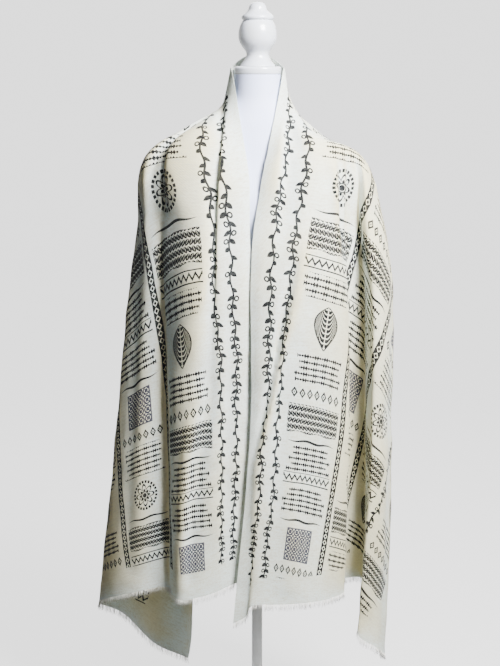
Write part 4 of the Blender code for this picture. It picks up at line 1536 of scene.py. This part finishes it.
@dataclass
class FrayedEnd:
    """The loose threads at one short end of the shawl, in centimetres."""

    name: str
    node: str
    shawl: Shawl
    first_line: int
    last_line: int
    threads: int = 780
    shortest: float = 1.1
    longest: float = 1.75
    radius: float = 0.03
    root: float = 0.35
    inset: float = 0.05
    sway: float = 0.16
    tapers: Pair = (0.85, 0.4)

    def build(self, finish: bpy.types.Material) -> list[bpy.types.Object]:
        """Builds the threads, each a bent three-sided strand.

        Args:
            finish: the loose cotton.

        Returns:
            The frayed end.
        """
        numbers = self.shawl.stations
        inside = (numbers >= self.first_line) & (numbers <= self.last_line)
        edge, above = self.shawl.grid[-1, inside], self.shawl.grid[-3, inside]
        lengths = np.concatenate([[0.0], np.cumsum(np.linalg.norm(np.diff(edge, axis=0), axis=1))])
        fall = edge - above
        fall /= np.linalg.norm(fall, axis=1, keepdims=True)
        chance = np.random.default_rng(len(self.name) * 7 + self.first_line)
        places = np.sort(chance.uniform(self.inset, lengths[-1] - self.inset, self.threads))
        bm = bmesh.new()
        number = bm.verts.layers.int.new("thread")
        ways = []
        for at in places:
            base = Vector([np.interp(at, lengths, edge[:, k]) for k in range(3)])
            drop = Vector([np.interp(at, lengths, fall[:, k]) for k in range(3)])
            sway = Vector(chance.normal(0.0, self.sway, 3))
            length = chance.uniform(self.shortest, self.longest)
            # Root inside the hem, a bend near the middle, and the loose tip.
            way = (
                base - drop * self.root,
                base + drop * length * 0.45 + sway * length * 0.3,
                base + (drop * 0.97 + sway).normalized() * length,
            )
            ring = bmesh.ops.create_circle(
                bm, segments=3, radius=self.radius * CM, matrix=Matrix.Translation(way[0] * CM)
            )["verts"]
            for vertex in ring:
                vertex[number] = len(ways)
            ways.append(way)
        edges = list(bm.edges)
        for step, taper in enumerate(self.tapers, start=1):
            made = bmesh.ops.extrude_edge_only(bm, edges=edges)["geom"]
            verts = {item for item in made if isinstance(item, bmesh.types.BMVert)}
            edges = [
                item for item in made
                if isinstance(item, bmesh.types.BMEdge) and all(v in verts for v in item.verts)
            ]
            for vertex in verts:
                way = ways[vertex[number]]
                vertex.co = way[step] * CM + (vertex.co - way[step - 1] * CM) * taper
        bmesh.ops.holes_fill(bm, edges=bm.edges, sides=3)
        bmesh.ops.recalc_face_normals(bm, faces=bm.faces)
        return [finished(self.name, bm, finish, "frayed_cotton", self.node)]


# Studio

@dataclass
class Studio:
    """The plain pale room, its soft lights and the camera at the photograph's place."""

    camera_place: Triple = (-0.017, -3.6, 1.54)
    camera_tilt: float = 9.4
    pixels_per_radian: float = 1566.0
    image_height: float = 666.0
    sensor: float = 36.0
    aim: Triple = (0.0, 0.0, 1.0)
    room: str = "f4f6fa"
    room_strength: float = 0.06
    # The paper: half the floor's size, and where it bends up into the wall and how high that is.
    paper_half: float = 30.0
    bend_start: float = 8.1
    bend_radius: float = 0.9
    bend_steps: int = 16
    wall_rise: float = 4.5
    # Each soft box: its name, place, size in metres, power in watts and colour.
    softboxes: tuple[tuple, ...] = (
        ("key_softbox", (1.0, -1.35, 2.6), 0.8, 330.0, "ffffff"),
        ("fill_softbox", (-0.2, -3.6, 2.4), 1.4, 14.0, "f6f9ff"),
        ("back_softbox", (0.3, 2.4, 2.6), 1.6, 45.0, "ffffff"),
    )

    def place_camera(self) -> None:
        """Makes the camera."""
        data = bpy.data.cameras.new("camera")
        data.sensor_fit = "VERTICAL"
        data.sensor_height = self.sensor
        data.lens = self.pixels_per_radian * self.sensor / self.image_height
        camera = bpy.data.objects.new("camera", data)
        camera.location = self.camera_place
        camera.rotation_euler = (math.radians(90 - self.camera_tilt), 0, 0)
        bpy.context.scene.collection.objects.link(camera)
        bpy.context.scene.camera = camera

    def place_light(
        self, name: str, place: Triple, size: float, power: float, colour: str
    ) -> None:
        """Adds one soft box that faces the shawl's middle.

        Args:
            name: the light's name.
            place: where it stands, in metres.
            size: the side of its square, in metres.
            power: its power in watts.
            colour: its sRGB hex colour.
        """
        data = bpy.data.lights.new(name, "AREA")
        data.size = size
        data.energy = power
        data.color = linear(colour)[:3]
        light = bpy.data.objects.new(name, data)
        light.location = place
        light.visible_camera = False
        towards = Vector(self.aim) - Vector(place)
        light.rotation_euler = towards.to_track_quat("-Z", "Y").to_euler()
        bpy.context.scene.collection.objects.link(light)

    def build(self) -> None:
        """Builds the floor, the backdrop and the lights."""
        bm = bmesh.new()
        bmesh.ops.create_grid(bm, x_segments=1, y_segments=1, size=self.paper_half)
        back = [edge for edge in bm.edges if all(vertex.co.y > 0 for vertex in edge.verts)]
        verts = list({vertex for edge in back for vertex in edge.verts})
        bmesh.ops.translate(bm, vec=(0, self.bend_start - self.paper_half, 0), verts=verts)
        bmesh.ops.spin(
            bm, geom=verts + back, cent=(0, self.bend_start, self.bend_radius), axis=(1, 0, 0),
            angle=math.pi / 2, steps=self.bend_steps, dvec=(0, 0, 0), use_merge=False,
            use_duplicate=False,
        )
        highest = max(vertex.co.z for vertex in bm.verts) - 1e-4
        top = [edge for edge in bm.edges if all(vertex.co.z > highest for vertex in edge.verts)]
        lifted = bmesh.ops.extrude_edge_only(bm, edges=top)["geom"]
        lifted = [item for item in lifted if isinstance(item, bmesh.types.BMVert)]
        bmesh.ops.translate(bm, vec=(0, 0, self.wall_rise), verts=lifted)
        mesh = bpy.data.meshes.new("seamless_backdrop")
        bm.to_mesh(mesh)
        bm.free()
        mesh.shade_smooth()
        mesh.materials.append(StudioPaper().build())
        backdrop = bpy.data.objects.new("seamless_backdrop", mesh)
        bpy.context.scene.collection.objects.link(backdrop)
        # The paper's own glow would flatten the folds, so it is kept off them.
        backdrop.visible_diffuse = False

        world = bpy.data.worlds.new("soft_room")
        world.use_nodes = True
        background = world.node_tree.nodes["Background"]
        background.inputs["Color"].default_value = linear(self.room)
        background.inputs["Strength"].default_value = self.room_strength
        bpy.context.scene.world = world
        for softbox in self.softboxes:
            self.place_light(*softbox)


def main() -> None:
    """Builds the studio and each sub-assembly in order, and reports them."""
    logging.basicConfig(level=logging.INFO, format="%(name)s: %(message)s")
    studio = Studio()
    studio.place_camera()
    studio.build()

    form = DressForm()
    torso = form.build(FormJersey().build())
    NeckTurning().build(WhiteLacquer().build())
    Stand().build(PowderCoat().build())

    shawl = Shawl(form)
    cloth = shawl.build(PrintedCotton().build())
    loose = FrayedCotton().build()
    last_line = len(FOLD_LINES) - 1
    ends = [
        *FrayedEnd("left_frayed_end", "fringe_left_end", shawl, 0, LEFT_CORNER).build(loose),
        *FrayedEnd(
            "right_frayed_end", "fringe_right_end", shawl, RIGHT_CORNER, last_line
        ).build(loose),
    ]


if __name__ == "__main__":
    main()
